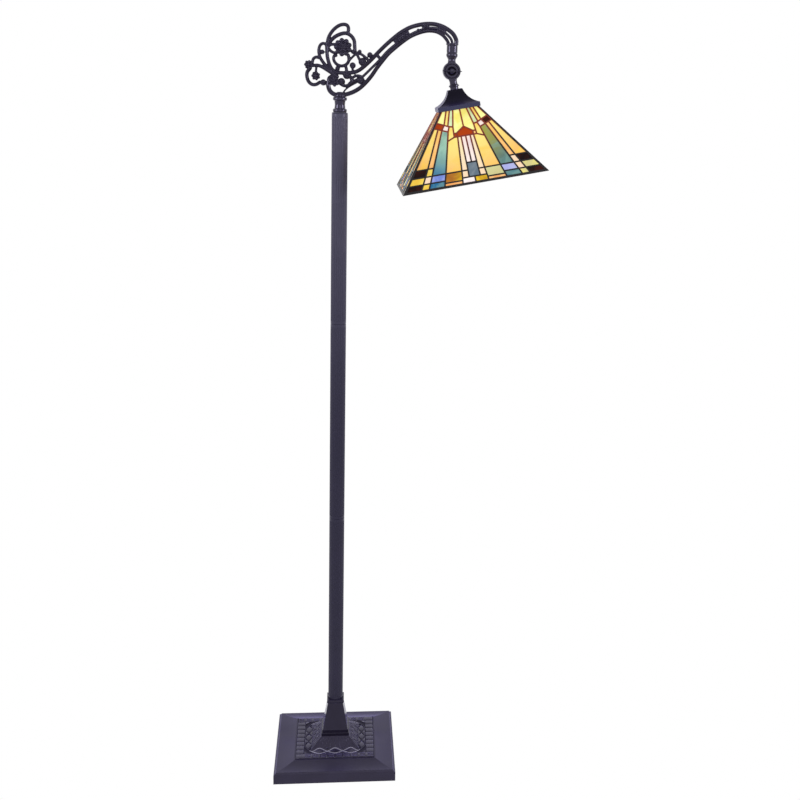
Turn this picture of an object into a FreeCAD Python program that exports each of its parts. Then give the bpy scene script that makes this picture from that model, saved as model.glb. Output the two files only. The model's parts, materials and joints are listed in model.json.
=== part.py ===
import FreeCAD, Part
import math
import os
import re
import Sketcher

# Task floor lamp, in millimetres. The origin is on the floor under the pole, +X runs along the arm
# and +Z is up. The head hangs from a tilting knuckle, and its pieces are drawn about the pivot with
# the head's own axis vertical, then tilted to the angle of rest.

doc = FreeCAD.newDocument("task_floor_lamp")
Vector = FreeCAD.Vector
ORIGIN = Vector(0, 0, 0)
X_AXIS = Vector(1, 0, 0)
Y_AXIS = Vector(0, 1, 0)
Z_AXIS = Vector(0, 0, 1)
QUARTER_TURN = 90
FULL_TURN = 360
HEXAGON = 6
FACES = 4

SIZES = {
    # fits and clearances
    "fit": 0.05,
    "running_gap": 0.3,
    "overrun": 3.0,
    # threaded tube used all through the lamp, its nuts and washers
    "thread_radius": 5.0,
    "lead_radius": 3.5,
    "nut_radius": 8.0,
    "nut_height": 6.0,
    "washer_radius": 9.0,
    "washer_thickness": 1.5,
    # base plinth
    "base_side": 254.0,
    "floor_gap": 1.0,
    "edge_top": 20.0,
    "ledge_width": 5.0,
    "ledge_rise": 4.8,
    "cove_rise": 6.4,
    "cove_sag": 1.6,
    "panel_side": 168.6,
    "panel_lip": 1.2,
    "cove_margin": 2.2,
    "mound_side": 106.0,
    "mound_top_side": 60.0,
    "mound_rise": 20.1,
    "base_wall": 4.0,
    # pad, cover plate, ballast and cover screws
    "pad_thickness": 3.0,
    "pad_side": 238.0,
    "plate_thickness": 1.5,
    "ballast_side": 222.0,
    "channel_width": 14.0,
    "screw_spacing": 200.0,
    "screw_radius": 2.0,
    "screw_head_radius": 3.6,
    "screw_head_height": 1.8,
    "screw_length": 20.0,
    # cord grommet
    "grommet_height": 10.25,
    "grommet_bore": 3.4,
    "grommet_radius": 4.4,
    "grommet_flange": 5.5,
    "grommet_flange_thickness": 1.2,
    # riser
    "riser_height": 78.5,
    "foot_side": 58.8,
    "foot_rise": 6.0,
    "band_side": 56.0,
    "band_rise": 7.4,
    "foot_slope": 1.6,
    "shaft_side": 52.0,
    "shaft_top_side": 32.6,
    "lip_side": 36.0,
    "lip_rise": 5.2,
    "lip_flare": 2.2,
    "riser_cap": 12.0,
    # pole
    "pole_radius": 15.6,
    "pole_wall": 2.0,
    "section_length": 413.6,
    "seam_chamfer": 0.8,
    "reed_count": 24,
    "reed_radius": 1.7,
    "reed_depth": 0.8,
    "reed_margin": 6.0,
    "insert_height": 12.0,
    "plug_flange": 2.0,
    "plug_round": 1.5,
    "joint_reach": 10.0,
    # swivel neck
    "thrust_thickness": 0.5,
    "ring_radius": 13.5,
    "ring_height": 6.2,
    "ring_round": 1.1,
    "neck_height": 28.3,
    "neck_shoulder": 10.6,
    "neck_waist": 9.8,
    "stem_head_radius": 7.6,
    "stem_head_height": 3.0,
    "stem_floor": 10.0,
    "counterbore_height": 10.0,
    # cast arm
    "arm_reach": 214.4,
    "arm_end_share": 0.507,
    "bow_limit": 0.0001,
    "body_depth": 7.6,
    "ridge_depth": 11.6,
    "crest_depth": 15.0,
    "ridge_share": 0.62,
    "crest_share": 0.36,
    "foot_radius": 10.4,
    "foot_height": 9.0,
    "foot_bore_depth": 7.4,
    "conduit_radius": 2.6,
    "conduit_wall": 0.6,
    # end barrel, measured down from its top
    "collar_radius": 12.0,
    "collar_height": 3.6,
    "barrel_radius": 10.5,
    "barrel_height": 15.2,
    "flange_radius": 11.0,
    "flange_height": 6.4,
    "barrel_bore_depth": 13.0,
    "spigot_length": 11.0,
    # knuckle
    "knuckle_radius": 17.0,
    "disc_thickness": 7.5,
    "friction_thickness": 1.0,
    "friction_radius": 12.0,
    "ring_thickness": 1.3,
    "ring_width": 2.4,
    "inner_ring_radius": 11.8,
    "inner_ring_width": 2.1,
    "knuckle_gap": 0.5,
    "knuckle_neck": 7.3,
    "neck_root": 7.9,
    "neck_root_height": 19.0,
    "rear_neck_length": 27.1,
    "neck_funnel_radius": 10.4,
    "neck_funnel_height": 5.0,
    "rest_tilt": 11.34,
    # wing screw
    "pivot_radius": 3.0,
    "boss_radius": 4.6,
    "boss_length": 9.0,
    "wing_span": 38.0,
    "wing_depth": 8.0,
    "wing_thickness": 2.6,
    # lower neck and cap, measured down from the pivot
    "front_neck_length": 34.5,
    "neck_ring_drop": 26.4,
    "neck_ring_radius": 10.2,
    "neck_ring_height": 3.6,
    "neck_ring_round": 1.2,
    "neck_seat_radius": 8.2,
    "neck_bore_depth": 11.0,
    "cap_wall": 1.5,
    "cap_top_side": 29.0,
    "cap_corner_drop": 1.2,
    "cap_side": 82.5,
    "cap_flare": 29.5,
    "cap_band": 8.2,
    "flare_side_share": 0.523,
    "flare_drop_share": 0.525,
    # shade
    "shade_top_drop": 68.0,
    "shade_drop": 207.7,
    "shade_side": 279.0,
    "shade_top_side": 71.5,
    "came_depth": 4.0,
    "came_width": 2.9,
    "glass_thickness": 2.6,
    "hip_width": 3.0,
    "rim_width": 4.2,
    "top_strip": 3.0,
    "crossbar_width": 14.0,
    "crossbar_thickness": 1.6,
    "nipple_tail": 11.0,
    # lamp holder
    "holder_radius": 17.5,
    "holder_shoulder": 4.0,
    "holder_cap_height": 16.0,
    "holder_wall": 1.2,
    "shell_wall": 0.8,
    "shell_start": 12.0,
    "shell_height": 34.0,
    "insulator_wall": 1.2,
    "insulator_floor": 5.0,
    "socket_wall": 0.9,
    "socket_inset": 3.0,
    "contact_radius": 4.0,
    "contact_height": 2.0,
    # bulb
    "bulb_length": 104.0,
    "bulb_radius": 30.0,
    "bulb_cap_radius": 13.2,
    "bulb_cap_wall": 0.6,
    "bulb_cap_height": 24.0,
    "bulb_tip_height": 3.0,
    "bulb_tip_radius": 4.5,
    "bulb_neck_length": 20.0,
    "bulb_seat": 6.0,
    "bulb_wall": 0.9,
    "bulb_shoulder_share": 0.467,
}

PLACES = {
    "base_half": "base_side / 2",
    "panel_half": "panel_side / 2",
    "plate_bottom": "pad_thickness",
    "plate_top": "plate_bottom + plate_thickness",
    "shelf": "edge_top - base_wall",
    "ledge_top": "edge_top + ledge_rise",
    "cove_top": "ledge_top + cove_rise",
    "panel_top": "cove_top + panel_lip",
    "plinth_top": "panel_top + mound_rise",
    "mound_ceiling": "plinth_top - base_wall",
    "cavity_half": "base_half - base_wall",
    "pole_foot": "plinth_top + riser_height",
    "pole_top": "pole_foot + 3 * section_length",
    "insert_radius": "pole_radius - pole_wall - fit",
    "plug_top": "pole_top + plug_flange",
    "neck_bottom": "plug_top + thrust_thickness",
    "scroll_foot": "neck_bottom + neck_height",
    "arm_end": "scroll_foot + arm_end_share * arm_reach",
    "flange_top": "arm_end - collar_height - barrel_height",
    "barrel_bottom": "flange_top - flange_height",
    "pivot_height": "barrel_bottom - rear_neck_length",
    "cap_top": "-front_neck_length",
    "cap_plate": "cap_top - cap_wall",
    "cap_edge": "cap_top - cap_flare",
    "cap_bottom": "cap_edge - cap_band",
    "crossbar_top": "crossbar_thickness - shade_top_drop",
    "holder_top": "-shade_top_drop - nut_height",
    "shell_radius": "holder_radius - holder_wall - fit",
    "insulator_radius": "shell_radius - shell_wall - fit",
    "socket_radius": "insulator_radius - insulator_wall - fit",
    "shell_top": "holder_top - shell_start",
    "shell_bottom": "shell_top - shell_height",
    "insulator_top": "shell_top - holder_wall",
    "contact_top": "insulator_top - insulator_floor",
    "bulb_top": "contact_top - contact_height",
    "bulb_shell_top": "bulb_top - bulb_tip_height",
    "bulb_shell_bottom": "bulb_shell_top - bulb_cap_height",
    "bulb_end": "bulb_top - bulb_length",
}


def qualified(text):
    """The expression with each size or place named by its sheet."""
    def sheet_name(match):
        word = match.group(0)
        if word in SIZES:
            return "Sizes." + word
        if word in PLACES:
            return "Places." + word
        return word
    return re.sub(r"[a-z][a-z_]*", sheet_name, text)


def fill_sheet(name, rows):
    """A spreadsheet with one named value on each row."""
    sheet = doc.addObject("Spreadsheet::Sheet", name)
    for row, (alias, content) in enumerate(rows.items(), 1):
        sheet.set("A%d" % row, alias)
        sheet.set("B%d" % row, content)
        sheet.setAlias("B%d" % row, alias)
    return sheet


sizes = fill_sheet("Sizes", {alias: str(size) for alias, size in SIZES.items()})
places = fill_sheet("Places", {
    alias: "=" + re.sub(r"[a-z][a-z_]*", lambda m: ("Sizes." if m.group(0) in SIZES else "") + m.group(0), rule)
    for alias, rule in PLACES.items()})
doc.recompute()
sub_parts = []


def number(text):
    """The value, in millimetres or as a count, of an expression on the sheets."""
    return float(sizes.evalExpression(qualified(text)))


def numbers(*texts):
    return [number(text) for text in texts]


def bind(made, **rules):
    for name, rule in rules.items():
        made.setExpression(name, qualified(rule))
    return made


def put(made, x="0", y="0", z="0", axis=None, angle=0):
    """Sets where a piece stands, by expressions on the sheets."""
    if axis is not None:
        made.Placement = FreeCAD.Placement(ORIGIN, FreeCAD.Rotation(axis, angle))
    for name, rule in (("x", x), ("y", y), ("z", z)):
        if rule != "0":
            made.setExpression("Placement.Base." + name, qualified(rule))
    return made


def finish(made, label):
    made.Label = label
    sub_parts.append(made)
    return made


def tilt(made, label):
    """Hangs a piece of the head from the pivot, at the angle of rest."""
    made.Placement = FreeCAD.Placement(ORIGIN, FreeCAD.Rotation(Y_AXIS, -number("rest_tilt")))
    made.setExpression("Placement.Rotation.Angle", qualified("-rest_tilt"))
    put(made, x="arm_reach", z="pivot_height")
    return finish(made, label)


def hang(made, label):
    """Sets a piece drawn about the pivot in its place, without the tilt."""
    return finish(put(made, x="arm_reach", z="pivot_height"), label)


def cylinder(name, radius, height, **place):
    return put(bind(doc.addObject("Part::Cylinder", name), Radius=radius, Height=height), **place)


def box(name, length, width, height, **place):
    made = bind(doc.addObject("Part::Box", name), Length=length, Width=width, Height=height)
    return put(made, **place)


def slab(name, side, height, z):
    """A square slab centred on the pole's axis."""
    return box(name, side, side, height, x="-(%s) / 2" % side, y="-(%s) / 2" % side, z=z)


def cut(name, base, *tools):
    made = doc.addObject("Part::Cut", name)
    made.Base = base
    made.Tool = tools[0] if len(tools) == 1 else fuse(name + "_tools", *tools)
    return made


def fuse(name, *parts):
    made = doc.addObject("Part::MultiFuse", name)
    made.Shapes = list(parts)
    return made


def group(name, *parts):
    made = doc.addObject("Part::Compound", name)
    made.Links = list(parts)
    return made


def tube(name, outer, inner, height, **place):
    """A round tube or washer, whose bore runs through it."""
    return cut(name, cylinder(name + "_outer", outer, height, **place),
               cylinder(name + "_bore", inner, height, **place))


def nut(name, z):
    """A hexagon nut on the threaded tube, standing on z."""
    blank = bind(doc.addObject("Part::Prism", name + "_blank"), Circumradius="nut_radius", Height="nut_height")
    blank.Polygon = HEXAGON
    put(blank, z=z)
    return cut(name, blank, cylinder(name + "_bore", "thread_radius + fit", "nut_height", z=z))


def origin_feature(body, role):
    return [feature for feature in body.Origin.OriginFeatures if feature.Role == role][0]


def new_sketch(body, name, role, lift=None):
    sketch = body.newObject("Sketcher::SketchObject", name)
    sketch.AttachmentSupport = [(origin_feature(body, role), "")]
    sketch.MapMode = "FlatFace"
    if lift is not None:
        sketch.setExpression("AttachmentOffset.Base.z", qualified(lift))
    return sketch


def draw_outline(sketch, outline):
    """A closed outline of straight lines, each corner held at its named place."""
    corners = [(number(across), number(up)) for across, up in outline]
    count = len(corners)
    for i, (across, up) in enumerate(corners):
        after = corners[(i + 1) % count]
        sketch.addGeometry(Part.LineSegment(Vector(across, up, 0), Vector(after[0], after[1], 0)))
    for i in range(count):
        sketch.addConstraint(Sketcher.Constraint("Coincident", i, 2, (i + 1) % count, 1))
    for i, corner in enumerate(outline):
        for kind, rule, place in zip(("DistanceX", "DistanceY"), corner, corners[i]):
            held = sketch.addConstraint(Sketcher.Constraint(kind, -1, 1, i, 1, place))
            if rule != "0":
                sketch.setExpression("Constraints[%d]" % held, qualified(rule))


def draw_circle(sketch, radius, across="0"):
    """A circle on the sketch's horizontal axis."""
    ring = sketch.addGeometry(Part.Circle(Vector(number(across), 0, 0), Z_AXIS, number(radius)))
    held = sketch.addConstraint(Sketcher.Constraint("Radius", ring, number(radius)))
    sketch.setExpression("Constraints[%d]" % held, qualified(radius))
    if across == "0":
        sketch.addConstraint(Sketcher.Constraint("Coincident", ring, 3, -1, 1))
        return
    sketch.addConstraint(Sketcher.Constraint("PointOnObject", ring, 3, -1))
    held = sketch.addConstraint(Sketcher.Constraint("DistanceX", -1, 1, ring, 3, number(across)))
    sketch.setExpression("Constraints[%d]" % held, qualified(across))


def turned(name, outline):
    """A piece turned about its own upright axis from (radius, height) corners."""
    body = doc.addObject("PartDesign::Body", name)
    sketch = new_sketch(body, name + "_profile", "XZ_Plane")
    draw_outline(sketch, outline)
    revolution = body.newObject("PartDesign::Revolution", name + "_turn")
    revolution.Profile = sketch
    revolution.ReferenceAxis = (sketch, ["V_Axis"])
    revolution.Angle = FULL_TURN
    return body


def shaped(name, shape):
    made = doc.addObject("Part::Feature", name)
    made.Shape = shape
    return made


def square_moulding(start, *steps):
    """A square moulding with mitred corners. Each step is (half, height) for a straight run, or has the
    middle of an arc before its end."""
    edges = []
    ends = []
    for side in (1, -1):
        here = Vector(side * start[0], 0, start[1])
        for step in steps:
            end = Vector(side * step[-2], 0, step[-1])
            if len(step) == 2:
                edges.append(Part.makeLine(here, end))
            else:
                edges.append(Part.Arc(here, Vector(side * step[0], 0, step[1]), end).toShape())
            here = end
        ends.append(here)
    edges.append(Part.makeLine(Vector(-start[0], 0, start[1]), Vector(start[0], 0, start[1])))
    edges.append(Part.makeLine(ends[0], ends[1]))
    face = Part.Face(Part.Wire(Part.__sortEdges__(edges)))
    reach = face.BoundBox.XMax
    lengthwise = face.extrude(Vector(0, 2 * reach, 0))
    lengthwise.translate(Vector(0, -reach, 0))
    crosswise = lengthwise.copy()
    crosswise.rotate(ORIGIN, Z_AXIS, QUARTER_TURN)
    return lengthwise.common(crosswise).removeSplitter()


def upright(radius, low, high, x=0, y=0):
    return Part.makeCylinder(radius, high - low, Vector(x, y, low), Z_AXIS)


def corner_places(spacing):
    return [(x * spacing / 2, y * spacing / 2) for x in (-1, 1) for y in (-1, 1)]


# Base plinth: a hollow casting, open underneath, with a blind hole for each cover screw

def base_plinth():
    half, ledge, panel, over, wall = numbers("base_half", "ledge_width", "panel_half", "overrun", "base_wall")
    bottom, edge, ledge_top, cove_top = numbers("floor_gap", "edge_top", "ledge_top", "cove_top")
    panel_top, top, shelf, ceiling = numbers("panel_top", "plinth_top", "shelf", "mound_ceiling")
    sag, margin, mound, mound_top = numbers("cove_sag", "cove_margin", "mound_side / 2", "mound_top_side / 2")
    inside, bore, screw = numbers("cavity_half", "thread_radius + fit", "screw_radius + fit")
    step = number("ledge_rise / 4")
    solid = square_moulding(
        (half, bottom), (half, edge),
        (half - step, edge + step / 2),
        (half - ledge + step / 2, ledge_top - step, half - ledge, ledge_top),
        ((half - ledge + panel + margin) / 2, (ledge_top + cove_top) / 2 - sag, panel + margin, cove_top),
        (panel, cove_top), (panel, panel_top), (mound, panel_top), (mound_top, top))
    cavity = square_moulding(
        (inside, bottom - over), (inside, shelf), (panel - wall, shelf), (panel - wall, panel_top - wall),
        (mound - wall, panel_top - wall), (mound_top - wall, ceiling))
    hole_top = number("plate_bottom + screw_length + running_gap")
    holes = [upright(screw, shelf - over, hole_top, x, y) for x, y in corner_places(number("screw_spacing"))]
    holes.append(upright(bore, ceiling - over, top + over))
    inlet = Part.makeCylinder(number("grommet_radius + fit"), wall + 2 * over,
                              Vector(0, inside - over, number("grommet_height")), Y_AXIS)
    return shaped("plinth", solid.cut(cavity).cut(holes + [inlet]))


def base_riser():
    foot, band, shaft, shaft_top, lip = numbers(
        "foot_side / 2", "band_side / 2", "shaft_side / 2", "shaft_top_side / 2", "lip_side / 2")
    bottom, top, wall, over = numbers("plinth_top", "pole_foot", "base_wall", "overrun")
    foot_top, slope = numbers("plinth_top + foot_rise", "foot_slope")
    band_top = foot_top + number("band_rise")
    lip_bottom, flare = numbers("pole_foot - lip_rise", "lip_flare")
    solid = square_moulding(
        (foot, bottom), (foot, foot_top), (band, foot_top + slope / 2), (band, band_top),
        (shaft, band_top + slope), (shaft_top, lip_bottom - flare), (lip, lip_bottom), (lip, top))
    ceiling = top - number("riser_cap")
    cavity = square_moulding((shaft - wall, bottom - over), (shaft - wall, band_top), (shaft_top - wall, ceiling))
    return shaped("riser", solid.cut(cavity).cut(upright(number("thread_radius + fit"), ceiling - over, top + over)))


def cover_holes(name, radius, height, z):
    """Four upright holes or shanks at the cover screws."""
    return [cylinder("%s_%d" % (name, i), radius, height, x="%d * screw_spacing / 2" % x,
                     y="%d * screw_spacing / 2" % y, z=z)
            for i, (x, y) in enumerate([(-1, -1), (-1, 1), (1, -1), (1, 1)])]


finish(base_plinth(), "base_plinth")
finish(base_riser(), "base_riser")
finish(cut("pad", slab("pad_slab", "pad_side", "pad_thickness", "0"),
           *cover_holes("pad_hole", "screw_head_radius + running_gap", "pad_thickness", "0")), "foot_pad")
finish(cut("plate", slab("plate_slab", "2 * (cavity_half - running_gap)", "plate_thickness", "plate_bottom"),
           *cover_holes("plate_hole", "screw_radius + fit", "plate_thickness", "plate_bottom")), "cover_plate")
finish(cut("ballast", slab("ballast_slab", "ballast_side", "shelf - plate_top", "plate_top"),
           box("lead_channel", "channel_width", "ballast_side / 2 + channel_width", "shelf - plate_top",
               x="-channel_width / 2", y="-channel_width", z="plate_top"),
           *cover_holes("ballast_hole", "screw_radius + running_gap", "shelf - plate_top", "plate_top")),
       "base_ballast")
screw_heads = cover_holes("screw_head", "screw_head_radius", "screw_head_height", "plate_bottom - screw_head_height")
screw_shanks = cover_holes("screw_shank", "screw_radius", "screw_length", "plate_bottom")
finish(group("screws", *[fuse("screw_%d" % i, head, shank)
                         for i, (head, shank) in enumerate(zip(screw_heads, screw_shanks))]), "cover_screws")

# Cord grommet in the rear wall, turned about the bore and laid along Y
grommet = turned("grommet", [
    ("grommet_bore", "-grommet_flange_thickness"),
    ("grommet_flange", "-grommet_flange_thickness"),
    ("grommet_flange", "0"),
    ("grommet_radius", "0"),
    ("grommet_radius", "base_wall"),
    ("grommet_flange", "base_wall"),
    ("grommet_flange", "base_wall + grommet_flange_thickness"),
    ("grommet_bore", "base_wall + grommet_flange_thickness")])
finish(put(grommet, y="cavity_half", z="grommet_height", axis=X_AXIS, angle=-QUARTER_TURN), "cord_grommet")

# Tie tube from under the plinth to the foot of the pole, with its washer and nut
finish(tube("tie_washer_ring", "washer_radius", "thread_radius + fit", "washer_thickness",
            z="mound_ceiling - washer_thickness"), "tie_washer")
finish(nut("tie_nut_body", "mound_ceiling - washer_thickness - nut_height"), "tie_nut")
tie_start = "mound_ceiling - washer_thickness - nut_height - overrun"
finish(tube("tie", "thread_radius", "lead_radius", "pole_foot + joint_reach - (%s)" % tie_start, z=tie_start),
       "tie_tube")


# Pole: three reeded sections, an insert in each end and a short threaded tube across each seam

def pole_section(name, foot):
    body = doc.addObject("PartDesign::Body", name)
    ring = new_sketch(body, name + "_ring", "XY_Plane")
    draw_circle(ring, "pole_radius")
    draw_circle(ring, "pole_radius - pole_wall")
    pad = bind(body.newObject("PartDesign::Pad", name + "_pad"), Length="section_length")
    pad.Profile = ring
    doc.recompute()
    radius = number("pole_radius")
    rims = ["Edge%d" % (i + 1) for i, edge in enumerate(pad.Shape.Edges)
            if hasattr(edge.Curve, "Radius") and abs(edge.Curve.Radius - radius) < number("fit")]
    chamfer = body.newObject("PartDesign::Chamfer", name + "_rims")
    chamfer.Base = (pad, rims)
    bind(chamfer, Size="seam_chamfer")
    groove = new_sketch(body, name + "_groove", "XY_Plane", "reed_margin")
    draw_circle(groove, "reed_radius", "pole_radius + reed_radius - reed_depth")
    pocket = bind(body.newObject("PartDesign::Pocket", name + "_reed"), Length="section_length - 2 * reed_margin")
    pocket.Profile = groove
    pocket.Reversed = True
    doc.recompute()
    reeds = body.newObject("PartDesign::PolarPattern", name + "_reeds")
    reeds.Originals = [pocket]
    reeds.Axis = (ring, ["N_Axis"])
    reeds.Angle = FULL_TURN
    bind(reeds, Occurrences="reed_count")
    body.Tip = reeds
    return finish(put(body, z=foot), name)


pole_section("pole_lower", "pole_foot")
pole_section("pole_middle", "pole_foot + section_length")
pole_section("pole_upper", "pole_foot + 2 * section_length")


def insert(name, z):
    return tube(name, "insert_radius", "thread_radius + fit", "insert_height", z=z)


SEAMS = ("pole_foot + section_length", "pole_foot + 2 * section_length")
inserts = [insert("foot_insert", "pole_foot")]
nipples = []
for i, seam in enumerate(SEAMS):
    inserts.append(insert("insert_under_%d" % i, seam + " - insert_height"))
    inserts.append(insert("insert_over_%d" % i, seam))
    nipples.append(tube("nipple_%d" % i, "thread_radius", "lead_radius", "2 * joint_reach",
                        z=seam + " - joint_reach"))
finish(group("inserts", *inserts), "pole_inserts")
finish(group("nipples", *nipples), "joint_nipples")

finish(turned("plug", [
    ("thread_radius + fit", "pole_top - insert_height"),
    ("insert_radius", "pole_top - insert_height"),
    ("insert_radius", "pole_top"),
    ("pole_radius - seam_chamfer", "pole_top"),
    ("pole_radius", "pole_top + plug_flange - plug_round"),
    ("pole_radius - plug_round", "plug_top"),
    ("thread_radius + fit", "plug_top")]), "pole_top_plug")

# Swivel: the headed stem stays with the pole and the neck turns on it
finish(turned("stem", [
    ("lead_radius", "pole_top - insert_height"),
    ("thread_radius", "pole_top - insert_height"),
    ("thread_radius", "neck_bottom + stem_floor + fit"),
    ("stem_head_radius", "neck_bottom + stem_floor + fit"),
    ("stem_head_radius", "neck_bottom + stem_floor + fit + stem_head_height"),
    ("lead_radius", "neck_bottom + stem_floor + fit + stem_head_height")]), "swivel_stem")
finish(tube("thrust", "ring_radius - ring_round", "thread_radius + fit", "thrust_thickness", z="plug_top"), "thrust_washer")

RING_UNDER = "neck_bottom + ring_height"
RING_OVER = "scroll_foot - ring_height"
finish(turned("neck", [
    ("thread_radius + fit", "neck_bottom"),
    ("ring_radius - ring_round", "neck_bottom"),
    ("ring_radius", "neck_bottom + ring_round"),
    ("ring_radius", RING_UNDER + " - ring_round"),
    ("ring_radius - ring_round", RING_UNDER),
    ("neck_shoulder", RING_UNDER + " + ring_round / 2"),
    ("neck_waist", "(neck_bottom + scroll_foot) / 2"),
    ("neck_shoulder", RING_OVER + " - ring_round / 2"),
    ("ring_radius - ring_round", RING_OVER),
    ("ring_radius", RING_OVER + " + ring_round"),
    ("ring_radius", "scroll_foot - ring_round"),
    ("ring_radius - ring_round", "scroll_foot"),
    ("thread_radius + fit", "scroll_foot"),
    ("thread_radius + fit", "neck_bottom + stem_floor + counterbore_height"),
    ("stem_head_radius + running_gap", "neck_bottom + stem_floor + counterbore_height"),
    ("stem_head_radius + running_gap", "neck_bottom + stem_floor"),
    ("thread_radius + fit", "neck_bottom + stem_floor")]), "arm_neck")
stud_start = "neck_bottom + stem_floor + counterbore_height"
finish(tube("stud", "thread_radius", "lead_radius", "scroll_foot + foot_bore_depth - (%s)" % stud_start,
            z=stud_start), "neck_stud")


# Cast arm: an openwork of curved bands. Every place is a share of the reach, measured from the foot
# of the scroll, and every band runs through its points on tangent arcs.

BAND_SHARES = {
    "cradle": (0.040, 0.036, (
        (-0.100, 0.133), (-0.105, 0.096), (-0.089, 0.051), (-0.051, 0.023), (0.000, 0.016),
        (0.056, 0.026), (0.121, 0.051), (0.177, 0.086), (0.229, 0.135), (0.280, 0.196), (0.326, 0.264),
        (0.373, 0.326), (0.429, 0.394), (0.485, 0.445), (0.550, 0.499), (0.616, 0.546), (0.681, 0.578),
        (0.746, 0.599), (0.802, 0.606), (0.858, 0.599), (0.910, 0.574), (0.947, 0.536), (0.963, 0.510))),
    "cradle_curl": (0.036, 0.032, (
        (-0.100, 0.128), (-0.098, 0.159), (-0.077, 0.175), (-0.051, 0.161))),
    "upper_rail": (0.031, 0.038, (
        (-0.119, 0.417), (-0.114, 0.347), (-0.096, 0.282), (-0.070, 0.238), (-0.037, 0.218),
        (0.009, 0.212), (0.065, 0.215), (0.126, 0.222), (0.177, 0.247), (0.233, 0.294), (0.280, 0.340),
        (0.336, 0.401), (0.401, 0.466), (0.466, 0.525), (0.536, 0.581), (0.616, 0.627), (0.700, 0.654),
        (0.779, 0.666), (0.844, 0.664), (0.910, 0.647), (0.968, 0.617), (1.010, 0.581), (1.034, 0.536),
        (1.035, 0.508))),
    "inner_arch": (0.033, 0.031, (
        (-0.119, 0.413), (-0.114, 0.450), (-0.086, 0.485), (-0.047, 0.522), (0.005, 0.548),
        (0.051, 0.555), (0.093, 0.536), (0.121, 0.497), (0.127, 0.445), (0.129, 0.403))),
    "outer_arch": (0.030, 0.030, (
        (-0.121, 0.431), (-0.105, 0.511), (-0.070, 0.571), (-0.023, 0.613), (0.023, 0.630),
        (0.058, 0.623), (0.071, 0.595), (0.065, 0.553))),
    "high_left_curl": (0.024, 0.030, (
        (-0.126, 0.450), (-0.149, 0.461), (-0.175, 0.448), (-0.189, 0.413), (-0.188, 0.371),
        (-0.170, 0.324), (-0.131, 0.273), (-0.084, 0.226))),
    "low_left_curl": (0.026, 0.026, (
        (-0.189, 0.336), (-0.215, 0.340), (-0.238, 0.324), (-0.247, 0.292))),
    "left_stem": (0.027, 0.030, (
        (-0.243, 0.266), (-0.201, 0.270), (-0.159, 0.257), (-0.112, 0.231), (-0.065, 0.203),
        (-0.028, 0.177))),
    "left_loop": (0.032, 0.029, (
        (-0.266, 0.243), (-0.292, 0.208), (-0.294, 0.166), (-0.278, 0.124), (-0.247, 0.102),
        (-0.212, 0.104), (-0.180, 0.124))),
    "flower_ring": (0.025, 0.028, (
        (-0.037, 0.361), (-0.057, 0.352), (-0.056, 0.317), (-0.030, 0.285), (0.012, 0.272),
        (0.054, 0.287), (0.076, 0.322), (0.072, 0.366))),
    "low_curl": (0.025, 0.027, (
        (0.000, 0.117), (0.037, 0.100), (0.082, 0.111), (0.121, 0.140), (0.159, 0.161))),
    "middle_curl": (0.030, 0.026, (
        (0.084, 0.186), (0.103, 0.166), (0.101, 0.140), (0.080, 0.117))),
    "bud_arch": (0.024, 0.022, (
        (0.098, 0.160), (0.126, 0.184), (0.160, 0.193), (0.192, 0.187))),
    "thin_stem": (0.012, 0.016, (
        (0.019, 0.026), (0.051, 0.070), (0.093, 0.103), (0.145, 0.133))),
    "branch": (0.021, 0.024, (
        (0.093, 0.406), (0.140, 0.393), (0.187, 0.379), (0.229, 0.350), (0.261, 0.319))),
    "cross_stem": (0.018, 0.020, (
        (0.077, 0.317), (0.107, 0.352), (0.145, 0.387))),
    "leaf_stem": (0.022, 0.028, (
        (0.149, 0.375), (0.173, 0.331), (0.205, 0.287))),
    "flower_stem": (0.020, 0.020, (
        (-0.103, 0.429), (-0.061, 0.438), (-0.014, 0.436))),
    "bud_stem": (0.018, 0.018, (
        (0.047, 0.278), (0.056, 0.240), (0.056, 0.194))),
    "rosette_stem": (0.020, 0.020, (
        (-0.210, 0.268), (-0.217, 0.205))),
    "right_bud_stem": (0.020, 0.020, (
        (0.107, 0.262), (0.116, 0.226))),
}
COLLAR_SHARES = {
    "cross_band": (0.030, 0.030, ((0.317, 0.389), (0.394, 0.303))),
    "leaf_block": (0.092, 0.084, ((0.494, 0.473), (0.555, 0.522), (0.620, 0.560))),
    "ridge_collar": (0.082, 0.082, ((0.714, 0.618), (0.767, 0.633))),
    "end_block": (0.068, 0.062, ((0.868, 0.629), (0.933, 0.595))),
}
BUD_SHARES = {
    "ring_bud": (0.012, 0.135, 0.035),
    "big_bud": (0.184, 0.154, 0.037),
    "loop_bud": (-0.149, 0.123, 0.029),
    "bud_low": (-0.023, 0.250, 0.023),
    "bud_right": (0.111, 0.280, 0.029),
    "bud_middle": (0.060, 0.194, 0.036),
    "leaf_bud": (0.196, 0.315, 0.036),
    "berry_left": (0.172, 0.402, 0.019),
    "berry_right": (0.263, 0.377, 0.026),
    "curl_bud": (-0.160, 0.387, 0.022),
    "arch_bead": (0.690, 0.609, 0.014),
}
ROSETTE_SHARES = {
    "cradle_rosette": (-0.049, 0.131, 0.040, 6),
    "left_rosette": (-0.280, 0.273, 0.040, 7),
    "low_rosette": (-0.216, 0.178, 0.040, 7),
    "flower": (0.023, 0.434, 0.085, 9),
}
CONDUIT_SHARES = (
    (0.187, 0.172), (0.275, 0.259), (0.350, 0.336), (0.424, 0.419), (0.490, 0.476), (0.564, 0.529),
    (0.648, 0.581), (0.723, 0.613), (0.793, 0.631), (0.854, 0.629), (0.910, 0.609), (0.958, 0.574),
    (0.990, 0.537))
PETAL_PLACE_SHARE = 0.70
PETAL_SHARE = 1.16


PARALLEL_SHARE = 1e-6


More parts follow.
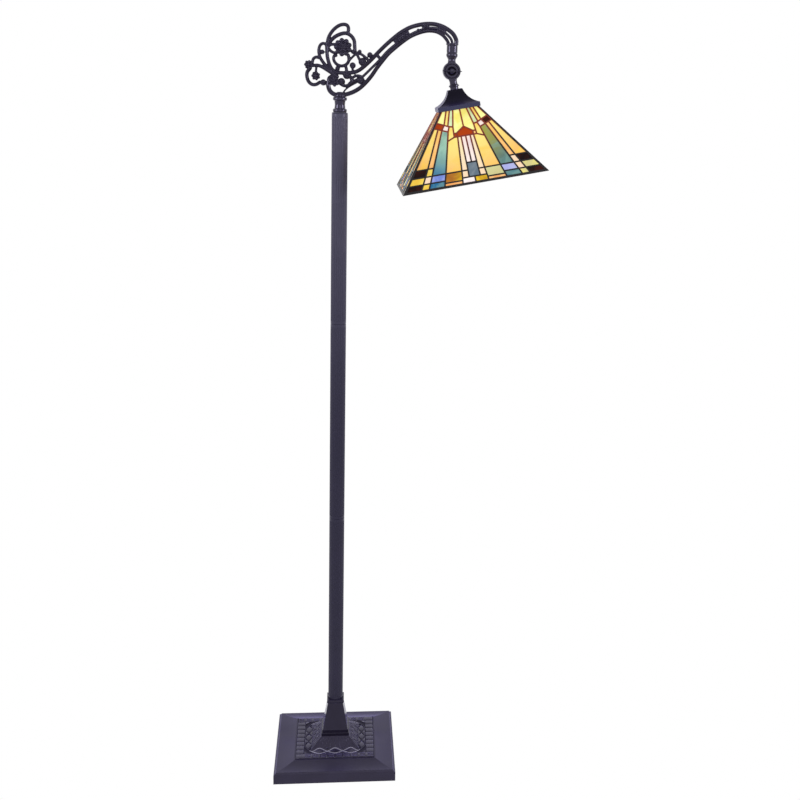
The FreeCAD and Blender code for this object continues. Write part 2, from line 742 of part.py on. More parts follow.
def in_arm(share):
    """A point of the arm's middle plane, from its shares of the reach."""
    reach, foot = numbers("arm_reach", "scroll_foot")
    return Vector(share[0] * reach, 0, foot + share[1] * reach)


def unit(vector):
    return vector * (1 / vector.Length)


def left_of(tangent):
    return Vector(-tangent.z, 0, tangent.x)


def tangents(points):
    """The direction of a smooth line at each point: inside, that of the circle through three points."""
    found = []
    for before, here, after in zip(points, points[1:], points[2:]):
        back, ahead = here - before, after - here
        found.append(unit(back * (ahead.Length / back.Length) + ahead * (back.Length / ahead.Length)))
    if not found:
        straight = unit(points[1] - points[0])
        return [straight, straight]
    first, last = unit(points[1] - points[0]), unit(points[-1] - points[-2])
    found.insert(0, first * (2 * first.dot(found[0])) - found[0])
    found.append(last * (2 * last.dot(found[-1])) - found[-1])
    return found


def arc_points(start, tangent, end):
    """(start, its tangent, middle, its tangent, end, its tangent) of the arc that leaves start along tangent."""
    chord = unit(end - start)
    turn = math.atan2(left_of(chord).dot(tangent), chord.dot(tangent))
    middle = (start + end) * 0.5 + left_of(chord) * ((end - start).Length / 2 * math.tan(turn / 2))
    return start, tangent, middle, chord, end, chord * (2 * chord.dot(tangent)) - tangent


def tangent_arcs(points):
    """Two arcs for each span, so that the line stays smooth through every point."""
    found = []
    directions = tangents(points)
    for start, end, leave, arrive in zip(points, points[1:], directions, directions[1:]):
        span = end - start
        both = leave + arrive
        spread = 2 * (1 - leave.dot(arrive))
        if spread < PARALLEL_SHARE:
            reach = span.dot(span) / (4 * span.dot(arrive))
        else:
            along = span.dot(both)
            reach = (math.sqrt(along * along + spread * span.dot(span)) - along) / spread
        meeting = (start + end + (leave - arrive) * reach) * 0.5
        found.append(arc_points(start, leave, meeting))
        found.append(arc_points(meeting, found[-1][5], end))
    return found


def edge_through(start, middle, end):
    """An arc, or a line where the three points are in line."""
    flat = (start + end) * 0.5 - middle
    if flat.Length < number("bow_limit"):
        return Part.makeLine(start, end)
    return Part.Arc(start, middle, end).toShape()


def stroke(points, start_width, end_width):
    """A flat band of changing width along tangent arcs, with round ends."""
    arcs = tangent_arcs(points)
    count = 2 * len(arcs)
    left, right = [], []
    for i, (start, leave, middle, along, end, arrive) in enumerate(arcs):
        halves = [(start_width + (end_width - start_width) * (2 * i + k) / count) / 2 for k in range(3)]
        for side, edges in ((1, left), (-1, right)):
            edges.append(edge_through(*[place + left_of(tangent) * (side * half) for place, tangent, half in zip(
                (start, middle, end), (leave, along, arrive), halves)]))
    first, last = arcs[0], arcs[-1]
    for place, outward, width, edges in ((last[4], last[5], end_width, left), (first[0], -first[1], start_width, right)):
        across = left_of(outward) * (width / 2)
        edges.append(Part.Arc(place + across, place + outward * (width / 2), place - across).toShape())
    return Part.Face(Part.Wire(Part.__sortEdges__(left + right)))


def disc(share_x, share_z, share_radius):
    centre = in_arm((share_x, share_z))
    return Part.Face(Part.Wire(Part.makeCircle(share_radius * number("arm_reach"), centre, Y_AXIS)))


def rosette(share_x, share_z, share_radius, petals):
    """A disc with a ring of round petals, each a little wider than half their spacing."""
    ring = share_radius * PETAL_PLACE_SHARE
    found = [disc(share_x, share_z, ring)]
    for k in range(petals):
        angle = math.radians(FULL_TURN * (k + 0.5) / petals)
        found.append(disc(share_x + ring * math.cos(angle), share_z + ring * math.sin(angle),
                          ring * PETAL_SHARE * math.sin(math.pi / petals)))
    return found


def casting_layer(depth, band_scale, collar_scale, bud_scale, rosette_scale):
    """One level of the casting: everything drawn flat, joined, and given its depth about the middle."""
    reach = number("arm_reach")
    flats = []
    for table, scale in ((BAND_SHARES, band_scale), (COLLAR_SHARES, collar_scale)):
        for start_share, end_share, points in table.values():
            if scale > 0:
                flats.append(stroke([in_arm(p) for p in points], start_share * reach * scale,
                                    end_share * reach * scale))
    flats += [disc(x, z, radius * bud_scale) for x, z, radius in BUD_SHARES.values()]
    for x, z, radius, petals in ROSETTE_SHARES.values():
        flats += rosette(x, z, radius * rosette_scale, petals)
    joined = flats[0].multiFuse(flats[1:]).removeSplitter()
    level = joined.extrude(Vector(0, depth, 0))
    level.translate(Vector(0, -depth / 2, 0))
    return level


def lathe(outline):
    """A solid turned about the Z axis from (radius, height) corners."""
    corners = [Vector(radius, 0, height) for radius, height in outline]
    return Part.Face(Part.makePolygon(corners + corners[:1])).revolve(ORIGIN, Z_AXIS, FULL_TURN)


def conduit_pipe(radius):
    """A round bar along the middle of the arm and down into the end barrel."""
    points = [in_arm(share) for share in CONDUIT_SHARES]
    reach, end, bore = numbers("arm_reach", "arm_end", "barrel_bottom + barrel_bore_depth")
    points.append(Vector(reach, 0, end))
    edges = [edge_through(arc[0], arc[2], arc[4]) for arc in tangent_arcs(points)]
    edges.append(Part.makeLine(points[-1], Vector(reach, 0, bore)))
    wire = Part.Wire(edges)
    ring = Part.Wire(Part.makeCircle(radius, points[0], tangents(points)[0]))
    return wire.makePipeShell([ring], True, False)


def arm_casting():
    ridge, crest = numbers("ridge_share", "crest_share")
    casting = casting_layer(number("body_depth"), 1, 1, 1, 1)
    casting = casting.fuse(casting_layer(number("ridge_depth"), ridge, 1, number("(1 + ridge_share) / 2"), 1))
    lumps = list(BUD_SHARES.values()) + [place[:3] for place in ROSETTE_SHARES.values()]
    crest_flats = [disc(x, z, radius * number("ridge_share")) for x, z, radius in lumps]
    depth = number("crest_depth")
    for flat in crest_flats:
        lump = flat.extrude(Vector(0, depth, 0))
        lump.translate(Vector(0, -depth / 2, 0))
        casting = casting.fuse(lump)
    reach, foot, top, fit, over = numbers("arm_reach", "scroll_foot", "arm_end", "fit", "overrun")
    casting = casting.fuse(upright(number("foot_radius"), foot, foot + number("foot_height")))
    collar, barrel, flange, round_off = numbers("collar_radius", "barrel_radius", "flange_radius", "ring_round")
    collar_bottom, flange_top, bottom = numbers("arm_end - collar_height", "flange_top", "barrel_bottom")
    end = lathe([(0, bottom), (flange - round_off, bottom), (flange, bottom + round_off),
                 (flange, flange_top - round_off), (barrel - round_off / 2, flange_top),
                 (barrel, flange_top + round_off), (barrel, collar_bottom - round_off), (collar, collar_bottom),
                 (collar, top - round_off), (collar - round_off, top), (0, top)])
    end.translate(Vector(reach, 0, 0))
    casting = casting.fuse(end)
    below = Part.makeBox(number("2 * arm_reach"), number("2 * foot_radius"), over,
                         Vector(-reach, -number("foot_radius"), foot - over))
    thread = number("thread_radius") + fit
    casting = casting.cut([
        below, conduit_pipe(number("conduit_radius") + fit),
        upright(thread, foot - over, foot + number("foot_bore_depth")),
        upright(thread, bottom - over, bottom + number("barrel_bore_depth"), reach)])
    return shaped("casting", casting.removeSplitter())


def arm_conduit():
    radius, wall = numbers("conduit_radius", "conduit_wall")
    return shaped("conduit", conduit_pipe(radius).cut(conduit_pipe(radius - wall)))


finish(arm_casting(), "arm_casting")
finish(arm_conduit(), "arm_conduit")


# Knuckle: two discs side by side on the pivot. The rear one belongs to the arm, the front one to the head.

def along_y(name, radius, height, start, side, **place):
    """A cylinder from y = start, running to the rear for side 1 and to the front for side -1."""
    return cylinder(name, radius, height, y=start, axis=X_AXIS, angle=-side * QUARTER_TURN, **place)


def knuckle_ring(name, outer, width, side):
    start = "%d * (friction_thickness / 2 + disc_thickness)" % side
    return cut(name, along_y(name + "_outer", outer, "ring_thickness", start, side),
               along_y(name + "_inner", "%s - %s" % (outer, width), "ring_thickness", start, side))


def knuckle_half(name, side, neck):
    """A disc with two raised rings and its neck. The rear half's neck points up, the front half's down."""
    gap = "%d * friction_thickness / 2" % side
    clearance = along_y(name + "_clearance", "knuckle_radius + knuckle_gap", "knuckle_neck + overrun", gap, -side)
    return fuse(
        name + "_body", cut(name + "_open_neck", neck, clearance),
        along_y(name + "_disc", "knuckle_radius", "disc_thickness", gap, side),
        knuckle_ring(name + "_rim", "knuckle_radius", "ring_width", side),
        knuckle_ring(name + "_inner_ring", "inner_ring_radius", "inner_ring_width", side))


PIVOT_START = "-(friction_thickness / 2 + disc_thickness + overrun)"
PIVOT_LENGTH = "friction_thickness + 2 * (disc_thickness + overrun)"
rear_neck = turned("rear_neck", [
    ("0", "0"),
    ("neck_root", "0"),
    ("neck_root", "knuckle_radius"),
    ("knuckle_neck", "neck_root_height"),
    ("knuckle_neck", "rear_neck_length - neck_funnel_height"),
    ("neck_funnel_radius", "rear_neck_length"),
    ("thread_radius", "rear_neck_length"),
    ("thread_radius", "rear_neck_length + spigot_length"),
    ("0", "rear_neck_length + spigot_length")])
rear = knuckle_half("rear", 1, rear_neck)
hang(cut("rear_half", rear, along_y("rear_bore", "pivot_radius + fit", PIVOT_LENGTH, PIVOT_START, 1)),
     "knuckle_rear")
front_neck = turned("front_neck", [
    ("0", "0"),
    ("neck_root", "0"),
    ("neck_root", "-knuckle_radius"),
    ("knuckle_neck", "-neck_root_height"),
    ("knuckle_neck", "-neck_ring_drop + 2 * neck_ring_round"),
    ("neck_ring_radius - neck_ring_round", "-neck_ring_drop"),
    ("neck_ring_radius", "-neck_ring_drop - neck_ring_round"),
    ("neck_ring_radius", "-neck_ring_drop - neck_ring_height + neck_ring_round"),
    ("neck_seat_radius", "-neck_ring_drop - neck_ring_height"),
    ("neck_seat_radius", "cap_top"),
    ("0", "cap_top")])
front = knuckle_half("front", -1, front_neck)
tilt(cut("front_half", front, along_y("front_bore", "pivot_radius + fit", PIVOT_LENGTH, PIVOT_START, 1),
         cylinder("front_thread", "thread_radius + fit", "neck_bore_depth", z="cap_top")), "knuckle_front")
hang(cut("friction", along_y("friction_outer", "friction_radius", "friction_thickness",
                             "-friction_thickness / 2", 1),
         along_y("friction_bore", "pivot_radius + fit", "friction_thickness", "-friction_thickness / 2", 1)),
     "friction_washer")

# Wing screw through both halves
disc_face = "-(friction_thickness / 2 + disc_thickness)"
wing_start = disc_face + " - boss_length - wing_depth / 2"
hang(fuse("wing", along_y("wing_shank", "pivot_radius", "friction_thickness + 2 * disc_thickness", disc_face, 1),
          along_y("wing_boss", "boss_radius", "boss_length + wing_depth / 2", disc_face, -1),
          box("wing_plate", "wing_span - wing_depth", "wing_depth", "wing_thickness",
              x="-(wing_span - wing_depth) / 2", y=wing_start, z="-wing_thickness / 2"),
          cylinder("wing_left", "wing_depth / 2", "wing_thickness", x="-(wing_span - wing_depth) / 2",
                   y=wing_start + " + wing_depth / 2", z="-wing_thickness / 2"),
          cylinder("wing_right", "wing_depth / 2", "wing_thickness", x="(wing_span - wing_depth) / 2",
                   y=wing_start + " + wing_depth / 2", z="-wing_thickness / 2")), "wing_screw")


# Shade cap: a square flared cover over the top of the shade

def shade_cap():
    top_half, half, wall, over = numbers("cap_top_side / 2", "cap_side / 2", "cap_wall", "overrun")
    top, edge, bottom, corner = numbers("cap_top", "cap_edge", "cap_bottom", "cap_corner_drop")
    mid_half = half * number("flare_side_share")
    mid = top - number("cap_flare") * number("flare_drop_share")
    outer = square_moulding((half, bottom), (half, edge), (mid_half, mid, top_half, top - corner),
                            (top_half - corner, top))
    lean = wall / math.sqrt(2)
    inner = square_moulding((half - wall, bottom - over), (half - wall, edge - wall / 2),
                            (mid_half - lean, mid - lean, top_half - wall, top - corner - wall / 2),
                            (top_half - wall - corner, top - wall))
    hole = upright(number("thread_radius + fit"), top - wall - over, top + over)
    return shaped("cap", outer.cut(inner).cut(hole))


tilt(shade_cap(), "shade_cap")
tilt(tube("cap_washer_ring", "washer_radius", "thread_radius + fit", "washer_thickness",
          z="cap_plate - washer_thickness"), "cap_washer")
tilt(tube("nipple", "thread_radius", "lead_radius",
          "shade_top_drop + nipple_tail + cap_top + neck_bore_depth - running_gap",
          z="-(shade_top_drop + nipple_tail)"), "shade_nipple")
tilt(group("nuts", nut("nut_under_cap", "cap_plate - washer_thickness - nut_height"),
           nut("nut_over_bar", "crossbar_top"),
           nut("nut_under_bar", "-shade_top_drop - nut_height")), "nipple_nuts")
bar_side = "shade_top_side"
bar_a = box("bar_along", bar_side, "crossbar_width", "crossbar_thickness",
            x="-shade_top_side / 2", y="-crossbar_width / 2", z="-shade_top_drop")
bar_b = box("bar_across", "crossbar_width", bar_side, "crossbar_thickness",
            x="-crossbar_width / 2", y="-shade_top_side / 2", z="-shade_top_drop")
tilt(cut("bars", fuse("cross", bar_a, bar_b),
         cylinder("cross_bore", "thread_radius + fit", "crossbar_thickness", z="-shade_top_drop")),
     "shade_crossbar")


# Leaded shade: four sloping faces. A place on a face is a share of the half-width at its height and a
# share of the slant height, so the pattern follows the fan of the face.

class Face:
    """The slope of one face, seen from the front, with the sizes that its pattern follows."""

    def __init__(self):
        self.rim, self.top, self.drop, self.start = numbers(
            "shade_side / 2", "shade_top_side / 2", "shade_drop", "shade_top_drop")
        self.slant = math.hypot(self.rim - self.top, self.drop - self.start)
        self.lean = (self.rim - self.top) / self.slant
        self.rise = (self.drop - self.start) / self.slant

    def half(self, up):
        return self.rim - up * self.lean

    def corner(self, share):
        """The flat place, (across, up), of a pair of shares."""
        up = share[1] * self.slant
        return share[0] * self.half(up), up

    def point(self, across, up, inward):
        return Vector(across, -(self.rim - up * self.lean - inward * self.rise),
                      up * self.rise - self.drop - inward * self.lean)

    def plate(self, corners, near, far):
        """A flat piece with these (across, up) corners, between two depths under the face."""
        points = [self.point(across, up, near) for across, up in corners]
        sheet = Part.Face(Part.makePolygon(points + points[:1]))
        return sheet.extrude(self.point(0, 0, far) - self.point(0, 0, near))


def shrunk(corners, inset):
    """A convex outline, each side moved in by inset, listed against the clock or with it alike."""
    area = sum(a[0] * b[1] - b[0] * a[1] for a, b in zip(corners, corners[1:] + corners[:1]))
    turn = 1 if area > 0 else -1
    lines = []
    for a, b in zip(corners, corners[1:] + corners[:1]):
        length = math.hypot(b[0] - a[0], b[1] - a[1])
        along = ((b[0] - a[0]) / length, (b[1] - a[1]) / length)
        lines.append(((a[0] - turn * along[1] * inset, a[1] + turn * along[0] * inset), along))
    found = []
    for (a, p), (b, q) in zip(lines[-1:] + lines[:-1], lines):
        cross = p[0] * q[1] - p[1] * q[0]
        step = ((b[0] - a[0]) * q[1] - (b[1] - a[1]) * q[0]) / cross
        found.append((a[0] + p[0] * step, a[1] + p[1] * step))
    return found


# Each pane of the right half: the colours of the left and right panes, then the corners as shares
ROW_SHARES = (0.024, 0.066, 0.096, 0.184, 0.278, 0.982)
RIM, STRIP, FIRST, SECOND, THIRD, HIGH = ROW_SHARES
FAN_SHARES = (0.083, 0.18, 0.433, 0.65, 0.757)
INNER, CREAM, WIDE, TEAL, OUTER = FAN_SHARES
GABLE_BASE, GABLE_SHOULDER, GABLE_TOP = 0.622, 0.670, 0.744
GABLE_FOOT_CORNER = (0.204, GABLE_BASE)
GABLE_CORNER = (0.227, GABLE_SHOULDER)
STUB_FOOT = (0.291, GABLE_BASE)
STUB_CORNER = (0.303, GABLE_SHOULDER)
WING_LOW = (0.454, 0.585)
WING_INNER_TOP = (0.330, 0.758)
TEAL_TOP = (0.467, 0.704)
SQUARE_TOP = (0.453, 0.766)
CHAIN_LOW = (0.666, 0.734)
CHAIN_HIGH = (0.631, 0.797)
EDGE_LOW = (1.0, 0.777)
EDGE_HIGH = (1.0, 0.845)
AMBER_TOP = (0.802, 0.7555)
MINT_LOW = (0.496, 0.7735)
PAIRED_PANE_SHARES = (
    ("white", "honey", ((0, RIM), (CREAM, RIM), (CREAM, FIRST), (0, FIRST))),
    ("orange", "orange", ((CREAM, RIM), (WIDE, RIM), (WIDE, STRIP), (CREAM, STRIP))),
    ("teal", "teal", ((WIDE, RIM), (TEAL, RIM), (TEAL, FIRST), (WIDE, FIRST))),
    ("yellow", "yellow", ((TEAL, RIM), (OUTER, RIM), (OUTER, FIRST), (TEAL, FIRST))),
    ("dark", "dark", ((OUTER, RIM), (1, RIM), (1, FIRST), (OUTER, FIRST))),
    ("cream", "cream", ((INNER, FIRST), (CREAM, FIRST), (CREAM, SECOND), (INNER, SECOND))),
    ("honey", "mint", ((CREAM, STRIP), (WIDE, STRIP), (WIDE, SECOND), (CREAM, SECOND))),
    ("lavender", "lavender", ((WIDE, FIRST), (TEAL, FIRST), (TEAL, SECOND), (WIDE, SECOND))),
    ("cream", "cream", ((TEAL, FIRST), (OUTER, FIRST), (OUTER, SECOND), (TEAL, SECOND))),
    ("yellow", "yellow", ((OUTER, FIRST), (1, FIRST), (1, SECOND), (OUTER, SECOND))),
    ("yellow", "cream", ((TEAL, SECOND), (OUTER, SECOND), (OUTER, THIRD), (0.655, THIRD))),
    ("dark", "dark", ((OUTER, SECOND), (1, SECOND), (1, THIRD), (OUTER, THIRD))),
    ("white", "white", ((0, THIRD), (0.088, THIRD), (0.116, GABLE_BASE), (0, GABLE_BASE))),
    ("cream", "cream", ((INNER, SECOND), (CREAM, SECOND), GABLE_FOOT_CORNER, (0.116, GABLE_BASE))),
    ("amber", "amber", ((CREAM, SECOND), (WIDE, SECOND), WING_LOW, STUB_FOOT, GABLE_FOOT_CORNER)),
    ("teal", "teal", ((WIDE, SECOND), (TEAL, SECOND), CHAIN_LOW, TEAL_TOP)),
    ("orange", "orange", ((0.655, THIRD), (OUTER, THIRD), AMBER_TOP, CHAIN_LOW)),
    ("amber", "amber", ((OUTER, THIRD), (1, THIRD), EDGE_LOW, AMBER_TOP)),
    ("red", "dark", (CHAIN_LOW, EDGE_LOW, EDGE_HIGH, CHAIN_HIGH)),
    ("white", "white", (TEAL_TOP, CHAIN_LOW, CHAIN_HIGH, SQUARE_TOP)),
    ("yellow", "yellow", (CHAIN_HIGH, EDGE_HIGH, (1.0, HIGH), (0.689, HIGH))),
    ("amber", "amber", (MINT_LOW, CHAIN_HIGH, (0.689, HIGH), (0.516, HIGH))),
    ("mint", "mint", (WING_INNER_TOP, MINT_LOW, (0.516, HIGH), (0.344, HIGH))),
    ("amber", "amber", (STUB_FOOT, WING_LOW, TEAL_TOP, SQUARE_TOP, WING_INNER_TOP)),
    ("red", "orange", (GABLE_FOOT_CORNER, STUB_FOOT, STUB_CORNER, GABLE_CORNER)),
    ("yellow", "yellow", ((0, GABLE_TOP), GABLE_CORNER, STUB_CORNER, WING_INNER_TOP, (0.344, HIGH), (0, HIGH))),
)
CENTRE_PANE_SHARES = (
    ("slate", ((-INNER, FIRST), (INNER, FIRST), (0.088, THIRD), (-0.088, THIRD))),
    ("red", ((-0.204, GABLE_BASE), GABLE_FOOT_CORNER, GABLE_CORNER, (0, GABLE_TOP), (-0.227, GABLE_SHOULDER))),
)


def mirrored(corners):
    return tuple((-across, up) for across, up in corners)


def clipped(corners, limit):
    """A convex outline kept on the low side of a line: limit is (a, b, c), for a * across + b * up <= c."""
    a, b, c = limit
    kept = []
    for here, after in zip(corners, corners[1:] + corners[:1]):
        over_here, over_after = a * here[0] + b * here[1] - c, a * after[0] + b * after[1] - c
        if over_here <= 0:
            kept.append(here)
        if over_here * over_after < 0:
            share = over_here / (over_here - over_after)
            kept.append((here[0] + (after[0] - here[0]) * share, here[1] + (after[1] - here[1]) * share))
    return kept


def face_windows(face):
    """Colour and flat outline of every pane of one face."""
    inset, hip = numbers("came_width / 2", "hip_width")
    found = []
    for left, right, corners in PAIRED_PANE_SHARES:
        found.append((left, mirrored(corners)))
        found.append((right, corners))
    found += list(CENTRE_PANE_SHARES)
    windows = []
    for colour, corners in found:
        outline = shrunk([face.corner(share) for share in corners], inset)
        for side in (-1, 1):
            # the hips lean in by face.lean for each millimetre of height along the face
            reach = math.hypot(1, face.lean)
            outline = clipped(outline, (side / reach, face.lean / reach,
                                        face.rim / reach - hip - inset))
        windows.append((colour, outline))
    return windows


def panel_outline(face):
    """The flat outline of one leaded panel, inside the hips, the rim and the top strip."""
    hip, rim, strip = numbers("hip_width", "rim_width", "top_strip")
    reach = math.hypot(1, face.lean)
    low, high = rim, face.slant - strip
    low_half = face.rim - low * face.lean - hip * reach
    high_half = face.rim - high * face.lean - hip * reach
    return [(-low_half, low), (low_half, low), (high_half, high), (-high_half, high)]


def frustum(low_half, low, high_half, high):
    return square_moulding((low_half, low), (high_half, high))


def turned_to(shape, quarter):
    copy = shape.copy()
    copy.rotate(ORIGIN, Z_AXIS, QUARTER_TURN * quarter)
    return copy


def shade():
    """The lattices, the glass by colour, the hips, the rim and the top ring."""
    face = Face()
    depth, glass = numbers("came_depth", "glass_thickness")
    windows = face_windows(face)
    plain = face.plate(panel_outline(face), 0, depth)
    lattice = plain.cut([face.plate(outline, -depth, 2 * depth) for colour, outline in windows])
    for quarter, side in enumerate(("front", "right", "back", "left")):
        tilt(shaped("lattice_" + side, Part.makeCompound([turned_to(lattice, quarter)])), "came_" + side)
    cover = (depth - glass) / 2
    for wanted in sorted({colour for colour, outline in windows}):
        panes = [face.plate(outline, cover, cover + glass) for colour, outline in windows if colour == wanted]
        whole = Part.makeCompound([turned_to(pane, quarter) for pane in panes for quarter in range(FACES)])
        tilt(shaped("panes_" + wanted, whole), "glass_" + wanted)
    inward = depth / face.rise
    slope = face.lean / face.rise
    over = number("overrun")
    shell = frustum(face.rim, -face.drop, face.top, -face.start).cut(
        frustum(face.rim - inward + over * slope, -face.drop - over, face.top - inward - over * slope,
                -face.start + over))
    deep = face.plate(panel_outline(face), -depth, 2 * depth)
    frame = shell.cut([turned_to(deep, quarter) for quarter in range(FACES)])
    rim_top = number("rim_width") * face.rise - face.drop
    strip_bottom = -face.start - number("top_strip") * face.rise - depth * face.lean
    half = face.rim + over
    for name, low, high, label in (("rim", -face.drop - over, rim_top, "rim_channel"),
                                   ("hips", rim_top, strip_bottom, "hip_cames"),
                                   ("ring", strip_bottom, -face.start + over, "shade_top_ring")):
        band = Part.makeBox(2 * half, 2 * half, high - low, Vector(-half, -half, low))
        tilt(shaped(name, frame.common(band)), label)


shade()

# Lamp holder, from its cap down to the centre contact
tilt(turned("holder_lid", [
    ("thread_radius + fit", "holder_top"),
    ("holder_radius - holder_shoulder", "holder_top"),
    ("holder_radius", "holder_top - holder_shoulder"),
    ("holder_radius", "holder_top - holder_cap_height"),
    ("holder_radius - holder_wall", "holder_top - holder_cap_height"),
    ("holder_radius - holder_wall", "holder_top - holder_shoulder"),
    ("holder_radius - holder_shoulder - holder_wall", "holder_top - holder_wall"),
    ("thread_radius + fit", "holder_top - holder_wall")]), "holder_cap")
tilt(tube("shell", "shell_radius", "shell_radius - shell_wall", "shell_height", z="shell_bottom"), "holder_shell")
tilt(turned("insulator", [
    ("0", "insulator_top"),
    ("insulator_radius", "insulator_top"),
    ("insulator_radius", "shell_bottom"),
    ("insulator_radius - insulator_wall", "shell_bottom"),
    ("insulator_radius - insulator_wall", "contact_top"),
    ("0", "contact_top")]), "holder_insulator")
tilt(tube("socket", "socket_radius", "socket_radius - socket_wall", "contact_top - socket_inset - shell_bottom",
          z="shell_bottom"), "holder_screw_shell")
tilt(turned("contact", [
    ("0", "bulb_top"),
    ("contact_radius", "bulb_top"),
    ("contact_radius", "contact_top"),
    ("0", "contact_top")]), "holder_contact")


# Bulb: screw cap, tip and glass

def bulb_solid(inset, lift):
    """The bulb's outside, or its inside where inset is the wall and lift opens the neck."""
    radius, neck, end, top = numbers("bulb_radius", "bulb_cap_radius - bulb_cap_wall - fit", "bulb_end",
                                     "bulb_shell_top - bulb_seat")
    flare = top - number("bulb_neck_length")
    centre = end + radius
    radius -= inset
    neck -= inset
    rise = radius * number("bulb_shoulder_share")
    wide = math.sqrt(radius * radius - rise * rise)
    joint = Vector(wide, 0, centre + rise)
    throat = Vector(neck, 0, flare)
    slope = arc_points(joint, Vector(-rise / radius, 0, wide / radius), throat)
    foot = Vector(0, 0, centre - radius)
    mouth = Vector(neck, 0, top + lift)
    crown = Vector(0, 0, top + lift)
    edges = [
        Part.makeLine(crown, mouth),
        Part.makeLine(mouth, throat),
        edge_through(throat, slope[2], joint),
        Part.Arc(joint, Vector(radius, 0, centre), foot).toShape(),
        Part.makeLine(foot, crown)]
    return Part.Face(Part.Wire(edges)).revolve(ORIGIN, Z_AXIS, FULL_TURN)


tilt(shaped("glass_bulb", bulb_solid(0, 0).cut(bulb_solid(*numbers("bulb_wall", "overrun")))), "bulb_glass")
tilt(turned("bulb_shell", [
    ("bulb_tip_radius + fit", "bulb_shell_top"),
    ("bulb_cap_radius", "bulb_shell_top"),
    ("bulb_cap_radius", "bulb_shell_bottom"),
    ("bulb_cap_radius - bulb_cap_wall", "bulb_shell_bottom"),
    ("bulb_cap_radius - bulb_cap_wall", "bulb_shell_top - bulb_cap_wall"),
    ("bulb_tip_radius + fit", "bulb_shell_top - bulb_cap_wall")]), "bulb_cap")
tilt(turned("tip", [
    ("0", "bulb_top"),
    ("bulb_tip_radius / 2", "bulb_top"),
    ("bulb_tip_radius", "bulb_shell_top"),
    ("bulb_tip_radius", "bulb_shell_top - bulb_cap_wall"),
    ("0", "bulb_shell_top - bulb_cap_wall")]), "bulb_contact")


def check_and_write():
    """Stops if any object failed or any sub-part is empty or invalid, then writes every sub-part."""
    doc.recompute()
    failed = [made.Label for made in doc.Objects if "Invalid" in made.State or "Error" in made.State]
    if failed:
        raise RuntimeError("failed: " + ", ".join(failed))
    for made in sub_parts:
        if made.Shape.isNull() or not made.Shape.isValid() or not made.Shape.Solids:
            raise RuntimeError("bad shape: " + made.Label)
    os.makedirs("parts", exist_ok=True)
    for made in sub_parts:
        made.Shape.exportStep("parts/%s.step" % made.Label)
    print(len(sub_parts), "sub-parts")


check_and_write()
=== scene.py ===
"""A floor lamp with a weighted base, a reeded pole, a cast scroll arm and a leaded glass shade.

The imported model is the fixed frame. This file dresses it: the relief on the base, the casting of the
arm, the wing screw, the glass, the paint and the metals, and the stage that it is photographed on.
"""

import json
import math

import bmesh
import bpy
from bpy.props import FloatProperty, FloatVectorProperty, PointerProperty
from bpy.types import Operator, Panel, PropertyGroup
from mathutils import Matrix, Vector


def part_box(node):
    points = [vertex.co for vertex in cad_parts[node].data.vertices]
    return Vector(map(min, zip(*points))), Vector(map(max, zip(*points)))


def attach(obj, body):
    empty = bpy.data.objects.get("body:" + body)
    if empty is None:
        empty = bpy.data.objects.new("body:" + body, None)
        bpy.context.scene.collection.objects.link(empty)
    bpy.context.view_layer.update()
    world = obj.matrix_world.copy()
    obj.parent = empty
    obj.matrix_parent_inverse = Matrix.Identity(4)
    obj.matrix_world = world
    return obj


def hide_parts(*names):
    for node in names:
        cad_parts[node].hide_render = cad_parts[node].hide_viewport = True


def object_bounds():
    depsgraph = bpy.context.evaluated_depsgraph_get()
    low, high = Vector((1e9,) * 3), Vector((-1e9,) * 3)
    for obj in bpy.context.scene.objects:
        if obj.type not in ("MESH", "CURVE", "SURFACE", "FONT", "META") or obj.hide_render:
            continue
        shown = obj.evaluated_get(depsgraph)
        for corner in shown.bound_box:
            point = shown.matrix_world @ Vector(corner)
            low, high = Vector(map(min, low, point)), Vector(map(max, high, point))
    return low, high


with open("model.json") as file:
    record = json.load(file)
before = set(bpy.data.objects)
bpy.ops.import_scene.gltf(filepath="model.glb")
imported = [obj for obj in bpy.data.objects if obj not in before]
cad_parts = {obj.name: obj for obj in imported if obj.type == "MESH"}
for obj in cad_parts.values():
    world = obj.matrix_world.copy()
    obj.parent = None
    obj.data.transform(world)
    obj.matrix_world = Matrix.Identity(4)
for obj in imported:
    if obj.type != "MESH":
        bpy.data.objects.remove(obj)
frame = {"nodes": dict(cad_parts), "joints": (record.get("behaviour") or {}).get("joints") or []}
CAD_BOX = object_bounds()

bl_info = {
    "name": "Task Floor Lamp",
    "version": (1, 0, 0),
    "blender": (4, 5, 0),
    "location": "3D View > Sidebar > Lamp",
    "description": "Dresses the floor lamp: base relief, scroll arm, leaded shade, bulb and stage",
    "category": "Object",
}

JOINTS = {joint["name"]: joint for joint in frame["joints"]}
PIVOT = Vector(JOINTS["head_tilt"]["pos_m"])
HEAD_DOWN = Vector(JOINTS["bulb_unscrew"]["axis"])
NODES = frame["nodes"]
# The arm's casting stands on its foot and reaches to the pivot
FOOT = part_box("arm_neck")[1].z
REACH = PIVOT.x
BACKWARD, UPWARD = Vector((0.0, 1.0, 0.0)), Vector((0.0, 0.0, 1.0))

# Painted light, in metres: the cap's lower band that is painted paler, and where the pole is painted paler
CAP_BAND, CAP_BLEND, POLE_PALER, POLE_BLEND = 0.0082, 0.0003, 1.02, 0.34
# Painted shade between the raised fields of the base: it begins and is full under their ground, fades
# and ends over it, and blends out towards the edge
SUNK_FROM, SUNK_FULL, SUNK_FADES, SUNK_TO, SUNK_EDGE = 0.0006, 0.0002, 0.0004, 0.0012, 0.0012
SUNK_PAINTED_SHADE, PEEL_HEIGHT = 0.6, 0.0002
# The knuckle's grooves, (inner, outer) radii round the tilting axis where shade is painted, and its blend
KNUCKLE_GROOVES, GROOVE_BLEND = ((0.0030, 0.0090), (0.0122, 0.0140)), 0.0006
